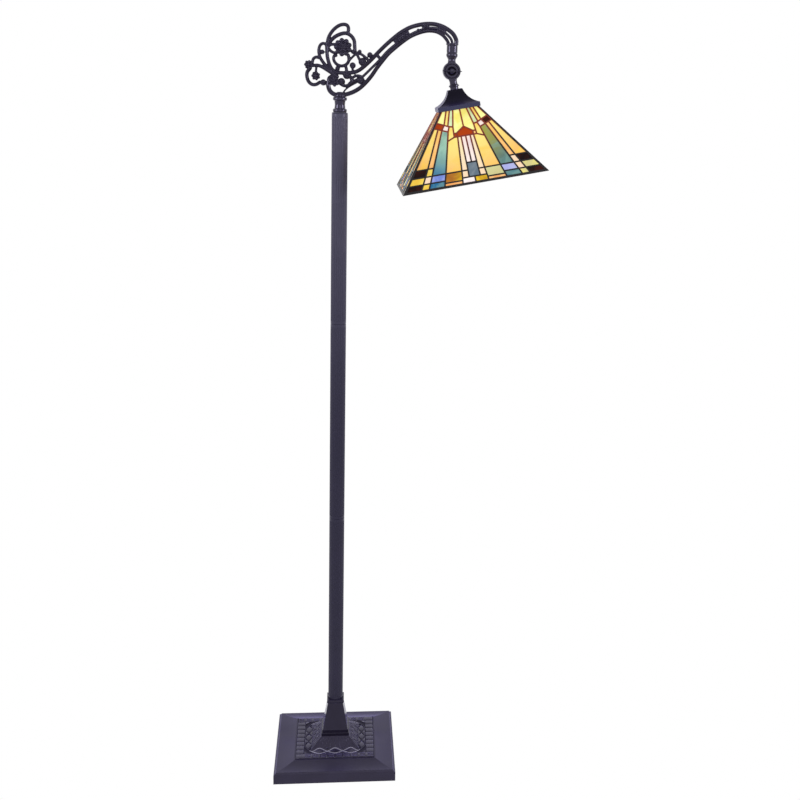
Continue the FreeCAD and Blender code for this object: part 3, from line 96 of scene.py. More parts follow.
# From the pivot to the bulb's neck and middle, and how far the bulb's light reaches
BULB_NECK, BULB_MIDDLE = 0.118, 0.168
GLASS_NEAR_TO_FAR, SOLDER_NEAR_TO_FAR = (0.075, 0.170), (0.055, 0.125)
RIGHT_HALF_BLEND = (-0.005, 0.015)
# Tints of the paint's gloss and haze, and what the glass keeps of its colour unlit
GLOSS_TINT, HAZE_TINT = (0.74, 0.69, 1.0), (0.42, 0.34, 1.0)
UNLIT_GLASS = (0.36, 0.36, 0.36)


def srgb(red, green, blue):
    """The linear colour of a screen colour given from 0 to 255."""
    def linear(part):
        share = part / 255
        return share / 12.92 if share <= 0.04045 else ((share + 0.055) / 1.055) ** 2.4
    return tuple(linear(part) for part in (red, green, blue))


def length(name, metres, words):
    return FloatProperty(name=name, default=metres, description=words, subtype="DISTANCE", unit="LENGTH",
                         min=0.0, precision=5)


def tint(name, colour, words):
    return FloatVectorProperty(name=name, default=colour, description=words, subtype="COLOR", size=3,
                               min=0.0, max=1.0)


class LampShape(PropertyGroup):
    """Sizes of the pieces that dress the lamp."""
    panel_height: length("Panel height", 0.0324, "Height of the raised panel of the base")
    panel_half: length("Panel half", 0.0843, "Half the width of the raised panel")
    mound_half: length("Mound half", 0.0530, "Half the width of the mound at its foot")
    mound_top_half: length("Mound top half", 0.0300, "Half the width of the mound at its top")
    mound_rise: length("Mound rise", 0.0201, "Height of the mound above the panel")
    relief_bead: length("Relief bead", 0.0007, "Radius of the raised lines on the base")
    relief_strip: length("Relief strip", 0.0162, "Width of the outer strip of raised bars")
    relief_wave: length("Relief wave", 0.0078, "Swing of the woven waves about their middle")
    scroll_depth: length("Scroll depth", 0.0086, "Thickness of the arm's casting, front to back")
    scroll_grain: length("Scroll grain", 0.0006, "Fineness of the cast surface of the arm")
    skin_growth: length("Skin growth", 0.0003, "Added to each bar, for the smoothing takes it off again")
    edge_round: length("Edge round", 0.0006, "Rounding of the edges of turned and cast pieces")


class LampColours(PropertyGroup):
    """Paints, their painted light, metals and the glow of the bulb."""
    paint: tint("Paint", srgb(29, 25, 37), "Dark paint of the castings")
    bloom: tint("Bloom", srgb(44, 40, 58), "Lighter, bluish cast of the paint")
    # A painted glint: raised arcs of the front and back are pale, as if catching light
    rubbed: tint("Rubbed lines", srgb(150, 146, 164), "Raised lines where the paint is rubbed thin")
    pole: tint("Pole paint", srgb(40, 38, 54), "Paint of the reeded tubes")
    # Painted light: the pole's paint grows paler towards its top, where more light falls
    pole_top: tint("Pole top", srgb(76, 74, 90), "Paler paint towards the top of the tubes")
    cap: tint("Cap paint", srgb(22, 20, 28), "Paint of the flared cap")
    # A painted highlight: the cap's lower band is paler, as if catching light
    cap_band: tint("Cap band", srgb(66, 66, 90), "Paint on the lower band of the cap")
    came: tint("Came", srgb(24, 20, 23), "Patina of the solder between the panes")
    came_lit: tint("Came near the bulb", srgb(150, 44, 10), "Red light on the solder near the bulb")
    steel: tint("Steel", (0.56, 0.55, 0.53), "Plated steel of the hidden hardware")
    brass: tint("Brass", (0.72, 0.52, 0.24), "Lamp holder")
    bulb: tint("Bulb", srgb(255, 226, 176), "Light of the frosted bulb")
    glow: FloatProperty(name="Glow", default=0.7, min=0.0, max=3.0,
                        description="Strength of the light through the glass")


class GlassColours(PropertyGroup):
    """The colour of each glass where the bulb is near."""
    amber: tint("Amber", srgb(255, 232, 132), "Wide panes beside the middle bars")
    cream: tint("Cream", srgb(255, 236, 186), "Narrow bars and small rim panes")
    dark: tint("Dark", srgb(58, 20, 10), "Corner panes")
    honey: tint("Honey", srgb(196, 134, 44), "Small rim panes")
    lavender: tint("Lavender", srgb(108, 128, 230), "Rim panes under the teal bars")
    mint: tint("Mint", srgb(222, 242, 192), "Slips under the cap")
    orange: tint("Orange", srgb(255, 198, 104), "Narrow bars towards the corners")
    red: tint("Red", srgb(176, 62, 8), "Gable in the middle")
    slate: tint("Slate", srgb(110, 126, 138), "Pane under the middle bars")
    teal: tint("Teal", srgb(170, 212, 184), "Long bars")
    white: tint("White", srgb(255, 236, 224), "Middle bars and small squares")
    yellow: tint("Yellow", srgb(255, 252, 164), "Panes under the cap")


# For each glass its colour far from the bulb, and that of the streaks in the sheet
GLASS = {
    "amber": ((242, 180, 106), (255, 206, 90)),
    "cream": ((248, 214, 180), (250, 226, 204)),
    "dark": ((20, 9, 9), (62, 18, 11)),
    "honey": ((184, 118, 44), (150, 92, 34)),
    "lavender": ((116, 136, 208), (176, 182, 240)),
    "mint": ((204, 194, 136), (206, 214, 150)),
    "orange": ((242, 168, 98), (255, 206, 140)),
    "red": ((216, 56, 4), (120, 34, 8)),
    "slate": ((96, 112, 126), (132, 142, 150)),
    "teal": ((36, 106, 150), (122, 160, 150)),
    "white": ((255, 242, 240), (236, 216, 218)),
    "yellow": ((234, 190, 70), (252, 236, 110)),
}
# The sheets of the right half where they differ: near the bulb, then far from it
GLASS_RIGHT = {
    "teal": ((160, 160, 74), (24, 96, 124)),
    "lavender": ((176, 182, 228), (180, 184, 228)),
    "honey": ((224, 184, 44), (232, 190, 40)),
    "yellow": ((255, 252, 164), (208, 200, 138)),
}


# Materials


class Wire:
    """An output socket of a material. Sums on it add Math nodes."""

    def __init__(self, recipe, socket):
        self.recipe = recipe
        self.socket = socket

    def sum_of(self, operation, *terms):
        return self.recipe.node("ShaderNodeMath", dict(enumerate(terms)), operation=operation)

    def __add__(self, other):
        return self.sum_of("ADD", self, other)

    def __sub__(self, other):
        return self.sum_of("SUBTRACT", self, other)

    def __rsub__(self, other):
        return self.sum_of("SUBTRACT", other, self)

    def __mul__(self, other):
        return self.sum_of("MULTIPLY", self, other)

    __radd__ = __add__
    __rmul__ = __mul__


class Recipe:
    """The node tree of a material or of the world, written from its outputs."""

    def __init__(self, owner):
        self.owner = owner
        owner.use_nodes = True
        self.tree = owner.node_tree
        self.tree.nodes.clear()

    def node(self, kind, sockets=(), out=0, **settings):
        """Adds a node: its settings first, then the values or wires of its sockets."""
        made = self.tree.nodes.new(kind)
        for name, value in settings.items():
            setattr(made, name, value)
        for key, value in dict(sockets).items():
            socket = made.inputs[key]
            if isinstance(value, Wire):
                self.tree.links.new(value.socket, socket)
            elif socket.type == "RGBA" and len(value) == 3:
                socket.default_value = (*value, 1.0)
            else:
                socket.default_value = value
        return Wire(self, made.outputs[out]) if len(made.outputs) else None

    def place(self):
        """The place on the lamp, in metres, which stays with the piece when it moves."""
        return self.node("ShaderNodeTexCoord", out="Object")

    def noise(self, scale, detail, distortion=0.0, where=None):
        """Scale is in features per metre."""
        return self.node("ShaderNodeTexNoise", {
            "Vector": where or self.place(), "Scale": scale, "Detail": detail, "Distortion": distortion})

    def stretched(self, scale, turn=(0.0, 0.0, 0.0)):
        return self.node("ShaderNodeMapping", {"Vector": self.place(), "Rotation": turn, "Scale": scale},
                         vector_type="TEXTURE")

    def remap(self, value, low, high, to_low=0.0, to_high=1.0):
        """Low to high becomes to_low to to_high, with soft ends."""
        return self.node("ShaderNodeMapRange", {
            "Value": value, "From Min": low, "From Max": high, "To Min": to_low, "To Max": to_high},
            interpolation_type="SMOOTHSTEP")

    def mix(self, share, first, second, blend="MIX"):
        return self.node("ShaderNodeMix", {0: share, 6: first, 7: second}, out=2, data_type="RGBA",
                         blend_type=blend)

    def vector(self, operation, first, second=(0.0, 0.0, 0.0), out=0):
        return self.node("ShaderNodeVectorMath", {0: first, 1: second}, out, operation=operation)

    def larger(self, first, second):
        return self.node("ShaderNodeMath", {0: first, 1: second}, operation="MAXIMUM")

    def seen(self):
        """1 where the camera, a reflection or a clear piece looks, 0 where light is gathered."""
        camera, glossy, through = (self.node("ShaderNodeLightPath", out=name) for name in (
            "Is Camera Ray", "Is Glossy Ray", "Is Transmission Ray"))
        return self.larger(camera, self.larger(glossy, through))

    def along(self, axis, start):
        """The distance in metres from the start, measured along an axis."""
        away = self.vector("SUBTRACT", self.place(), tuple(start))
        return self.vector("DOT_PRODUCT", away, tuple(axis), out="Value")

    def down_the_head(self, distance):
        """How far away the point is that lies this far below the pivot, inside the shade."""
        return self.vector("DISTANCE", self.place(), tuple(PIVOT + HEAD_DOWN * distance), out="Value")

    def bump(self, height, distance, strength):
        return self.node("ShaderNodeBump", {"Height": height, "Distance": distance, "Strength": strength})

    def surface(self, painted_shade_mix=None, **sockets):
        """Ends the material in a Principled shader. The painted shade mix is (share, colour) of a matt, dark
        ground that paints shade.
        """
        names = {key.replace("_", " "): value for key, value in sockets.items()}
        shader = self.node("ShaderNodeBsdfPrincipled", names)
        if painted_shade_mix:
            matt = self.node("ShaderNodeBsdfDiffuse", {"Color": painted_shade_mix[1]})
            shader = self.node("ShaderNodeMixShader", {0: painted_shade_mix[0], 1: shader, 2: matt})
        self.node("ShaderNodeOutputMaterial", {"Surface": shader})
        return self.owner


def blank(name):
    return Recipe(bpy.data.materials.new(name))


def scaled(colour, factor):
    return tuple(part * factor for part in colour)


def paint(name, colour, bloom, roughness, gloss, peel, haze, band=None, recess=None, rings=()):
    """Glossy paint over a casting: cloudy tone, fine orange peel, and a bluish haze on its gloss.

    A band is (axis, start, where it begins, half the width of its blend, colour) of painted light, a paler
    colour where more light falls. A recess is (height, half width) of the relief's ground, painted darker as
    shade between its raised fields. Rings are (inner, outer) radii of grooves round the tilting axis, where
    shade is painted."""
    recipe = blank(name)
    cloud, speck, patch = recipe.noise(26.0, 5.0), recipe.noise(900.0, 2.0), recipe.noise(7.0, 2.0)
    cloudy = recipe.mix(recipe.remap(cloud, 0.35, 0.75, 0.0, 0.55), colour, bloom)
    tone = recipe.mix(recipe.remap(patch, 0.3, 0.7, 0.0, 0.3), cloudy, scaled(colour, 0.6))
    painted_shade = None
    # Painted light: a paler colour along a band, where more light falls
    if band:
        axis, start, begins, blend, painted_light = band
        share = recipe.remap(recipe.along(axis, start), begins - blend, begins + blend)
        tone = recipe.mix(share, tone, painted_light)
    # Painted shade on the relief's ground, between its raised fields
    if recess:
        ground, half = recess
        across, back, up = (recipe.along(axis, Vector()) for axis in Matrix.Identity(3))
        side = recipe.larger(recipe.larger(across, 0.0 - across), recipe.larger(back, 0.0 - back))
        over_floor = recipe.remap(up, ground - SUNK_FROM, ground - SUNK_FULL)
        under_fields = recipe.remap(up, ground + SUNK_TO, ground + SUNK_FADES)
        painted_shade = over_floor * recipe.remap(side, half, half - SUNK_EDGE) * under_fields * SUNK_PAINTED_SHADE
    # Painted shade in the knuckle's grooves round the tilting axis
    for inner, outer in rings:
        from_pivot = recipe.vector("SUBTRACT", recipe.place(), tuple(PIVOT))
        flat = recipe.vector("MULTIPLY", from_pivot, (1.0, 0.0, 1.0))
        away = recipe.vector("LENGTH", flat, out="Value")
        groove = (recipe.remap(away, inner, inner + GROOVE_BLEND)
                  * recipe.remap(away, outer, outer - GROOVE_BLEND))
        painted_shade = groove if painted_shade is None else painted_shade + groove
    height = speck * 0.12 + recipe.noise(160.0, 3.0) * 0.5
    # Where shade is painted, a matt, darker ground is mixed in
    return recipe.surface(
        painted_shade_mix=None if painted_shade is None else (painted_shade, scaled(colour, 0.7)), Base_Color=tone,
        Roughness=recipe.remap(cloud + speck * 0.3, 0.4, 1.0, roughness - 0.05, roughness + 0.08),
        Specular_IOR_Level=gloss, Specular_Tint=GLOSS_TINT, Sheen_Weight=haze, Sheen_Tint=HAZE_TINT,
        Sheen_Roughness=0.4, Normal=recipe.bump(height, PEEL_HEIGHT, peel))


def metal(name, colour, roughness, grain):
    """Bare metal with fine turning marks and a little tarnish."""
    recipe = blank(name)
    marks, tarnish = recipe.noise(700.0, 3.0, where=recipe.stretched(grain)), recipe.noise(60.0, 4.0)
    shade = recipe.mix(recipe.remap(tarnish, 0.45, 0.8, 0.0, 0.5), colour, scaled(colour, 0.55))
    return recipe.surface(
        Base_Color=shade, Metallic=1.0, Normal=recipe.bump(marks, 0.00005, 0.6),
        Roughness=recipe.remap(marks, 0.3, 0.7, roughness - 0.08, roughness + 0.1))


def plain(name, colour, roughness, scale, depth):
    """Moulded, pressed or cast stuff: a mottled tone over a grained surface."""
    recipe = blank(name)
    grain, mottle = recipe.noise(scale, 4.0), recipe.noise(scale * 0.2, 3.0)
    pale = tuple(min(1.0, part * 1.5 + 0.01) for part in colour)
    shade = recipe.mix(recipe.remap(mottle + grain * 0.3, 0.4, 0.9, 0.0, 0.8), colour, pale)
    return recipe.surface(
        Base_Color=shade, Normal=recipe.bump(grain, depth, 0.7),
        Roughness=recipe.remap(grain, 0.3, 0.7, roughness - 0.06, roughness + 0.06))


def near_bulb(recipe, inner, outer):
    """1 close to the bulb, 0 far from it."""
    return 1.0 - recipe.remap(recipe.down_the_head(BULB_NECK), inner, outer)


def art_glass(name, near, far, streak, right, glow):
    """Streaky opalescent glass lit from inside: paler towards the bulb. Right is the sheet of the
    right half, near and far, where it was cut from another one."""
    recipe = blank(name)
    close = near_bulb(recipe, *GLASS_NEAR_TO_FAR)
    wisps = recipe.noise(30.0, 4.0, 1.6, recipe.stretched((1.0, 1.0, 2.6), (0.0, 0.2, 0.0)))
    cloud = recipe.noise(11.0, 3.0, 0.8)
    if right:
        half = recipe.remap(recipe.along((1.0, 0.0, 0.0), PIVOT), *RIGHT_HALF_BLEND)
        near, far = recipe.mix(half, near, right[0]), recipe.mix(half, far, right[1])
    body = recipe.mix(close, far, near)
    streaked = recipe.mix(recipe.remap(wisps + cloud * 0.5, 0.62, 0.96, 0.0, 0.85), body, streak)
    deep = recipe.mix(recipe.remap(cloud, 0.48, 0.72, 0.0, 0.5), streaked,
                      recipe.mix(1.0, streaked, (0.72, 0.66, 0.66), "MULTIPLY"))
    ripple = recipe.noise(120.0, 2.0, 0.5) + recipe.noise(38.0, 2.0) * 1.5
    light = recipe.remap(close, 0.0, 1.0, 1.10, 1.05)
    grey = recipe.node("ShaderNodeCombineColor", {0: light, 1: light, 2: light})
    return recipe.surface(
        Base_Color=recipe.mix(1.0, deep, UNLIT_GLASS, "MULTIPLY"),
        Roughness=recipe.remap(wisps, 0.3, 0.7, 0.14, 0.3), Specular_IOR_Level=0.08,
        Emission_Color=recipe.mix(1.0, deep, grey, "MULTIPLY"), Emission_Strength=glow,
        Normal=recipe.bump(ripple, 0.0006, 0.5))


def solder(name, colour, lit):
    """Patinated solder: lumpy bead, red where the bulb is close behind it."""
    recipe = blank(name)
    lumps, worn = recipe.noise(240.0, 3.0), recipe.noise(90.0, 4.0)
    tone = recipe.mix(recipe.remap(worn, 0.5, 0.8, 0.0, 0.5), colour, scaled(colour, 2.2))
    warm = recipe.mix(near_bulb(recipe, *SOLDER_NEAR_TO_FAR), (0.0, 0.0, 0.0), lit)
    return recipe.surface(
        Base_Color=tone, Metallic=0.45, Roughness=recipe.remap(lumps, 0.3, 0.7, 0.32, 0.5),
        Emission_Color=warm, Emission_Strength=0.8, Normal=recipe.bump(lumps, 0.0002, 0.5))


def threaded(name, colour, pitch):
    """Rolled metal with rings one pitch apart along the head's axis."""
    recipe = blank(name)
    along = recipe.vector("DOT_PRODUCT", recipe.place(), tuple(HEAD_DOWN), out="Value")
    rings = recipe.node("ShaderNodeMath", {0: along * (2 * math.pi / pitch)}, operation="SINE")
    tarnish = recipe.noise(80.0, 4.0)
    shade = recipe.mix(recipe.remap(tarnish, 0.4, 0.8, 0.0, 0.4), colour, scaled(colour, 0.6))
    return recipe.surface(
        Base_Color=shade, Metallic=1.0, Roughness=recipe.remap(tarnish, 0.3, 0.7, 0.25, 0.4),
        Normal=recipe.bump(rings, 0.0006, 0.8))


def frosted(name, colour):
    """A frosted bulb, brightest round its middle."""
    recipe = blank(name)
    frost = recipe.noise(1400.0, 2.0)
    cooler = recipe.remap(recipe.down_the_head(BULB_MIDDLE), 0.025, 0.07)
    return recipe.surface(
        Base_Color=(0.9, 0.88, 0.84), Roughness=recipe.remap(frost, 0.3, 0.7, 0.4, 0.55),
        Emission_Color=recipe.mix(cooler, colour, scaled(colour, 0.55)), Emission_Strength=1.6,
        Normal=recipe.bump(frost, 0.00004, 0.5))


def cap_foot():
    """How far the cap's lower edge lies from the pivot, along the head's axis."""
    return max((corner.co - PIVOT).dot(HEAD_DOWN) for corner in NODES["shade_cap"].data.vertices)


# Paints: colour, second tone, roughness, gloss, orange peel, haze. The cap's second tone is its own, paler.
PAINTS = {
    "cast_paint": ("paint", "bloom", 0.18, 0.34, 0.3, 0.2),
    "base_paint": ("paint", "bloom", 0.46, 0.42, 0.3, 0.56),
    "relief_paint": ("paint", "bloom", 0.26, 0.5, 0.3, 0.44),
    "turned_paint": ("paint", "bloom", 0.19, 0.56, 0.08, 0.08),
    "knuckle_paint": ("paint", "bloom", 0.2, 0.62, 0.3, 0.12),
    "screw_paint": ("cap", "bloom", 0.24, 0.4, 0.3, 0.2),
    # A painted glint on the raised arcs of the front and back quarters
    "rubbed_paint": ("rubbed", "rubbed", 0.2, 0.8, 0.3, 0.2),
    "pole_paint": ("pole", "bloom", 0.28, 0.34, 0.1, 0.1),
    "cap_paint": ("cap", None, 0.3, 0.06, 0.1, 0.3),
}
CAP_PALER = 1.6
# Plain stuff: colour, roughness, grains per metre and their depth in metres
PLAIN = {
    "felt": ((0.022, 0.021, 0.024), 0.9, 900.0, 0.0006), "iron": ((0.09, 0.085, 0.08), 0.72, 260.0, 0.0008),
    "bushing": ((0.02, 0.02, 0.021), 0.5, 700.0, 0.0001), "fibre": ((0.12, 0.05, 0.03), 0.65, 800.0, 0.0001),
}
FINISHES = {}


def make_finish(name):
    scene = bpy.context.scene
    shape, colours = scene.lamp_shape, scene.lamp_colours

    def tone(key):
        return tuple(getattr(colours, key))

    if name.startswith("glass_"):
        sheet = name[len("glass_"):]
        near = tuple(getattr(scene.glass_colours, sheet))
        far, streak = (srgb(*colour) for colour in GLASS[sheet])
        right = [srgb(*colour) for colour in GLASS_RIGHT.get(sheet, ())]
        return art_glass(name, near, far, streak, right, colours.glow)
    if name in PLAIN:
        return plain(name, *PLAIN[name])
    if name in PAINTS:
        colour, bloom, *look = PAINTS[name]
        extra = {
            # Painted shade on the ground of the base's relief
            "base_paint": {"recess": (shape.panel_height, shape.panel_half)},
            "knuckle_paint": {"rings": KNUCKLE_GROOVES},
            # Painted light towards the top of the pole
            "pole_paint": {"band": (UPWARD, Vector(), POLE_PALER, POLE_BLEND, tone("pole_top"))},
            # A painted highlight on the cap's lower band
            "cap_paint": {"band": (HEAD_DOWN, PIVOT, cap_foot() - CAP_BAND, CAP_BLEND, tone("cap_band"))},
        }.get(name, {})
        second = tone(bloom) if bloom else scaled(tone(colour), CAP_PALER)
        return paint(name, tone(colour), second, *look, **extra)
    return {
        "solder": lambda: solder(name, tone("came"), tone("came_lit")),
        "dark_solder": lambda: solder(name, tone("came"), (0.0, 0.0, 0.0)),
        "steel": lambda: metal(name, tone("steel"), roughness=0.34, grain=(1.0, 1.0, 0.1)),
        "brass": lambda: metal(name, tone("brass"), roughness=0.3, grain=(1.0, 1.0, 0.15)),
        "screw_shell": lambda: threaded(name, (0.74, 0.72, 0.68), pitch=0.0036),
        "bulb": lambda: frosted(name, tone("bulb")),
    }[name]()


def finish(name):
    """Each finish is made once, from the colours in the panel."""
    if name not in FINISHES:
        FINISHES[name] = make_finish(name)
    return FINISHES[name]


def dress(finish_name, *nodes):
    """Gives CAD nodes their finish."""
    for name in nodes:
        for slot in NODES[name].material_slots:
            slot.link = "OBJECT"
            slot.material = finish(finish_name)


def soften(name, width):
    """Rounds the sharp edges of a CAD node without touching its mesh."""
    piece = NODES[name]
    weld = piece.modifiers.new("weld", "WELD")
    weld.merge_threshold = 0.00001
    bevel = piece.modifiers.new("round", "BEVEL")
    bevel.width = width
    bevel.segments = 2
    bevel.angle_limit = math.radians(38)
    bevel.harden_normals = True


# Meshes

# Under 1, the section of a bar is a little square
BAR_ROUNDNESS = 0.8


def put(name, data):
    """A new object in the scene."""
    made = bpy.data.objects.new(name, data)
    bpy.context.scene.collection.objects.link(made)
    return made


def add_piece(name, mesh, finish_name, body, replaced=()):
    """A new piece of the lamp, at home on its body."""
    piece = put(name, mesh)
    mesh.materials.clear()
    mesh.materials.append(finish(finish_name))
    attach(piece, body)
    if replaced:
        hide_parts(*replaced)


def fused(name, rough, grain, smooth_steps):
    """One cast skin over closed lumps and bars that run into each other."""
    carrier = put(name + "_rough", rough)
    remesh = carrier.modifiers.new("cast", "REMESH")
    remesh.mode = "VOXEL"
    remesh.voxel_size = grain
    remesh.use_smooth_shade = True
    smooth = carrier.modifiers.new("flow", "SMOOTH")
    smooth.iterations = smooth_steps
    ready = carrier.evaluated_get(bpy.context.evaluated_depsgraph_get())
    skin = bpy.data.meshes.new_from_object(ready)
    skin.name = name
    bpy.data.objects.remove(carrier)
    bpy.data.meshes.remove(rough)
    return skin


def mesh_from(bm, name, sharp=0.6):
    """A smooth mesh, with edges where faces meet at more than the sharp angle, in radians."""
    bmesh.ops.recalc_face_normals(bm, faces=bm.faces)
    mesh = bpy.data.meshes.new(name)
    bm.to_mesh(mesh)
    bm.free()
    mesh.shade_smooth()
    mesh.set_sharp_from_angle(angle=sharp)
    return mesh


def lump(bm, centre, radii, turn=0.0, detail=3, lean=None):
    """A closed egg-shaped lump, its length turned in the plane of the arm."""
    place = Matrix.Translation(centre) @ Matrix.Rotation(-turn, 4, "Y")
    if lean is not None:
        place = place @ lean
    shape = Matrix.Diagonal((*radii, 1.0))
    bmesh.ops.create_icosphere(bm, subdivisions=detail, radius=1.0, matrix=place @ shape)


def close_rings(bm, rings):
    """Faces between neighbouring rings, which have as many corners, and over both ends."""
    for first, second in zip(rings, rings[1:]):
        for i in range(len(first)):
            after = (i + 1) % len(first)
            bm.faces.new((first[i], first[after], second[after], second[i]))
    bm.faces.new(rings[0][::-1])
    bm.faces.new(rings[-1])


def tube(bm, line, radii, sides=12, across=BACKWARD, end=1.0):
    """A closed bar along a line of points, with round ends, or blunter ones where end is under 1.
    Radii are (in the plane, across it), one pair for the whole bar or one for each point."""
    count = len(line)
    if isinstance(radii, tuple):
        radii = [radii] * count
    heading = [(line[min(i + 1, count - 1)] - line[max(i - 1, 0)]).normalized() for i in range(count)]

    def round_end(i, way, k):
        angle = k * math.pi / 8
        step = heading[i] * (way * radii[i][0] * end * math.sin(angle))
        return line[i] + step, heading[i], radii[i], math.cos(angle)

    stations = [round_end(0, -1.0, k) for k in (3, 2, 1)]
    stations += [(line[i], heading[i], radii[i], 1.0) for i in range(count)]
    stations += [round_end(-1, 1.0, k) for k in (1, 2, 3)]
    rings = []
    for centre, ahead, (wide, deep), shrink in stations:
        normal = across.cross(ahead).normalized()
        ring = []
        for side in range(sides):
            angle = 2 * math.pi * side / sides
            out, up = (math.copysign(abs(part) ** BAR_ROUNDNESS, part) for part in (
                math.cos(angle), math.sin(angle)))
            ring.append(bm.verts.new(centre + (normal * (wide * out) + across * (deep * up)) * shrink))
        rings.append(ring)
    close_rings(bm, rings)


def from_level(level, outline, way=1.0):
    """An outline of (radius, height) in metres, from tenths of a millimetre up or down from a level."""
    return [(radius / 10000, level + way * height / 10000) for radius, height in outline]


def lathe(bm, outline, sides, matrix):
    """A closed turned solid from (radius, height) corners; the first and last lie on the axis."""
    rings = []
    for radius, height in outline:
        ring = []
        for i in range(sides if radius else 1):
            angle = 2 * math.pi * i / sides
            corner = Vector((radius * math.cos(angle), radius * math.sin(angle), height))
            ring.append(bm.verts.new(matrix @ corner))
        rings.append(ring)
    for first, second in zip(rings, rings[1:]):
        for i in range(sides):
            corners = [ring[j % len(ring)] for ring, j in (
                (first, i), (first, i + 1), (second, i + 1), (second, i))]
            bm.faces.new(list(dict.fromkeys(corners)))


def flowing(points, steps=7):
    """A smooth line through the points."""
    padded = [points[0] * 2 - points[1], *points, points[-1] * 2 - points[-2]]
    line = []
    for a, b, c, d in zip(padded, padded[1:], padded[2:], padded[3:]):
        for step in range(steps):
            t = step / steps
            line.append(0.5 * ((2 * b) + (c - a) * t + (2 * a - 5 * b + 4 * c - d) * t * t
                               + (3 * b - a - 3 * c + d) * t ** 3))
    line.append(points[-1].copy())
    return line


# Scroll arm. Places and sizes are thousandths of the reach, from the foot of the casting. A band is
# (width at its start, width at its end, points), a bud (x, z, radius), a rosette has petals too.

BANDS = {
    "cradle": (40, 28, (
        (-100, 133), (-105, 96), (-89, 51), (-51, 23), (0, 16), (56, 26), (121, 51), (177, 86), (229, 135),
        (280, 196), (326, 264), (373, 326), (429, 394), (485, 445), (550, 499), (616, 546), (681, 578),
        (746, 599), (802, 606), (858, 599), (910, 574), (947, 536), (963, 510))),
    "cradle_curl": (36, 32, ((-100, 128), (-98, 159), (-77, 175), (-51, 161))),
    "upper_rail": (31, 38, (
        (-119, 417), (-114, 347), (-96, 282), (-70, 238), (-37, 218), (9, 212), (65, 215), (126, 222),
        (177, 247), (233, 294), (280, 340), (336, 401), (401, 466), (466, 525), (536, 581), (616, 627),
        (700, 654), (779, 666), (844, 664), (910, 647), (968, 617), (1010, 581), (1034, 536), (1035, 508))),
    "inner_arch": (33, 31, (
        (-119, 413), (-114, 450), (-86, 485), (-47, 522), (5, 548), (51, 555), (93, 536), (121, 497),
        (127, 445), (129, 403))),
    "outer_arch": (30, 30, (
        (-121, 431), (-105, 511), (-70, 571), (-23, 613), (23, 630), (58, 623), (71, 595), (65, 553))),
    "high_left_curl": (24, 30, (
        (-126, 450), (-149, 461), (-175, 448), (-189, 413), (-188, 371), (-170, 324), (-131, 273),
        (-84, 226))),
    "low_left_curl": (26, 26, ((-189, 336), (-215, 340), (-238, 324), (-247, 292))),
    "left_stem": (27, 36, ((-243, 266), (-201, 270), (-159, 257), (-112, 231), (-65, 203), (-28, 177))),
    "left_loop": (32, 29, (
        (-266, 243), (-292, 208), (-294, 166), (-278, 124), (-247, 102), (-212, 104), (-180, 124))),
    "flower_ring": (25, 28, (
        (-37, 361), (-57, 352), (-56, 317), (-30, 285), (12, 272), (54, 287), (76, 322), (72, 366))),
    "low_curl": (25, 27, ((0, 117), (37, 100), (82, 111), (121, 140), (159, 161))),
    "middle_curl": (30, 26, ((84, 186), (103, 166), (101, 140), (80, 117))),
    "bud_arch": (24, 22, ((98, 160), (126, 184), (160, 193), (192, 187))),
    "thin_stem": (12, 16, ((19, 26), (51, 70), (93, 103), (145, 133))),
    "branch": (21, 24, ((93, 406), (140, 393), (187, 379), (229, 350), (261, 319))),
    "cross_stem": (18, 20, ((77, 317), (107, 352), (145, 387))),
    "leaf_stem": (22, 28, ((149, 375), (173, 331), (205, 287))),
    "flower_stem": (22, 26, ((-110, 430), (-88, 450), (-50, 456), (-14, 444))),
    "low_flower_stem": (24, 24, ((-104, 420), (-82, 396), (-52, 384), (-20, 392))),
    "bud_stem": (26, 28, ((47, 278), (56, 240), (56, 194))),
    "rosette_stem": (20, 20, ((-210, 268), (-217, 205))),
    "right_bud_stem": (20, 20, ((107, 262), (116, 226))),
}
BUDS = (
    (12, 135, 35), (184, 154, 37), (-149, 123, 29), (-23, 250, 23),
    (111, 280, 29), (60, 194, 37), (196, 315, 36), (172, 402, 19),
    (263, 377, 26), (-160, 387, 22), (690, 609, 14), (112, 398, 20),
)
ROSETTES = (
    (-49, 131, 40, 6), (-280, 273, 40, 7), (-216, 178, 40, 7), (23, 434, 85, 9),
)
CROSS_BAND = ((320, 386), (378, 322))
LEAF_BLOCK = ((486, 489), (546, 538), (612, 574))
RIDGE_COLLAR = ((730, 629), (757, 636), (783, 638))
END_BLOCK = ((868, 629), (933, 595))


# Thicknesses from front to back, in metres
BUD_DEPTH, ROSETTE_DEPTH, BLOCK_DEPTH, END_BLOCK_DEPTH = 0.0130, 0.0150, 0.0125, 0.0110
# A bar isn't deeper than this share of its width. Bars wider than RIDGED_FROM carry a ridge on both
# faces, a share of their width, with its own height and sunk in a little.
DEEPEST, RIDGED_FROM = 1.35, 23
RIDGE_WIDTH, RIDGE_HEIGHT, RIDGE_SUNK = 0.36, 0.0009, 0.0002
CROSS_BAND_HALF, COLLAR_RIDGE = 0.0033, 0.0018
MIDRIB_RADII = (0.0010, 0.0014)
END_LEAF_RADII = (0.0046, 0.0016, 0.0026)
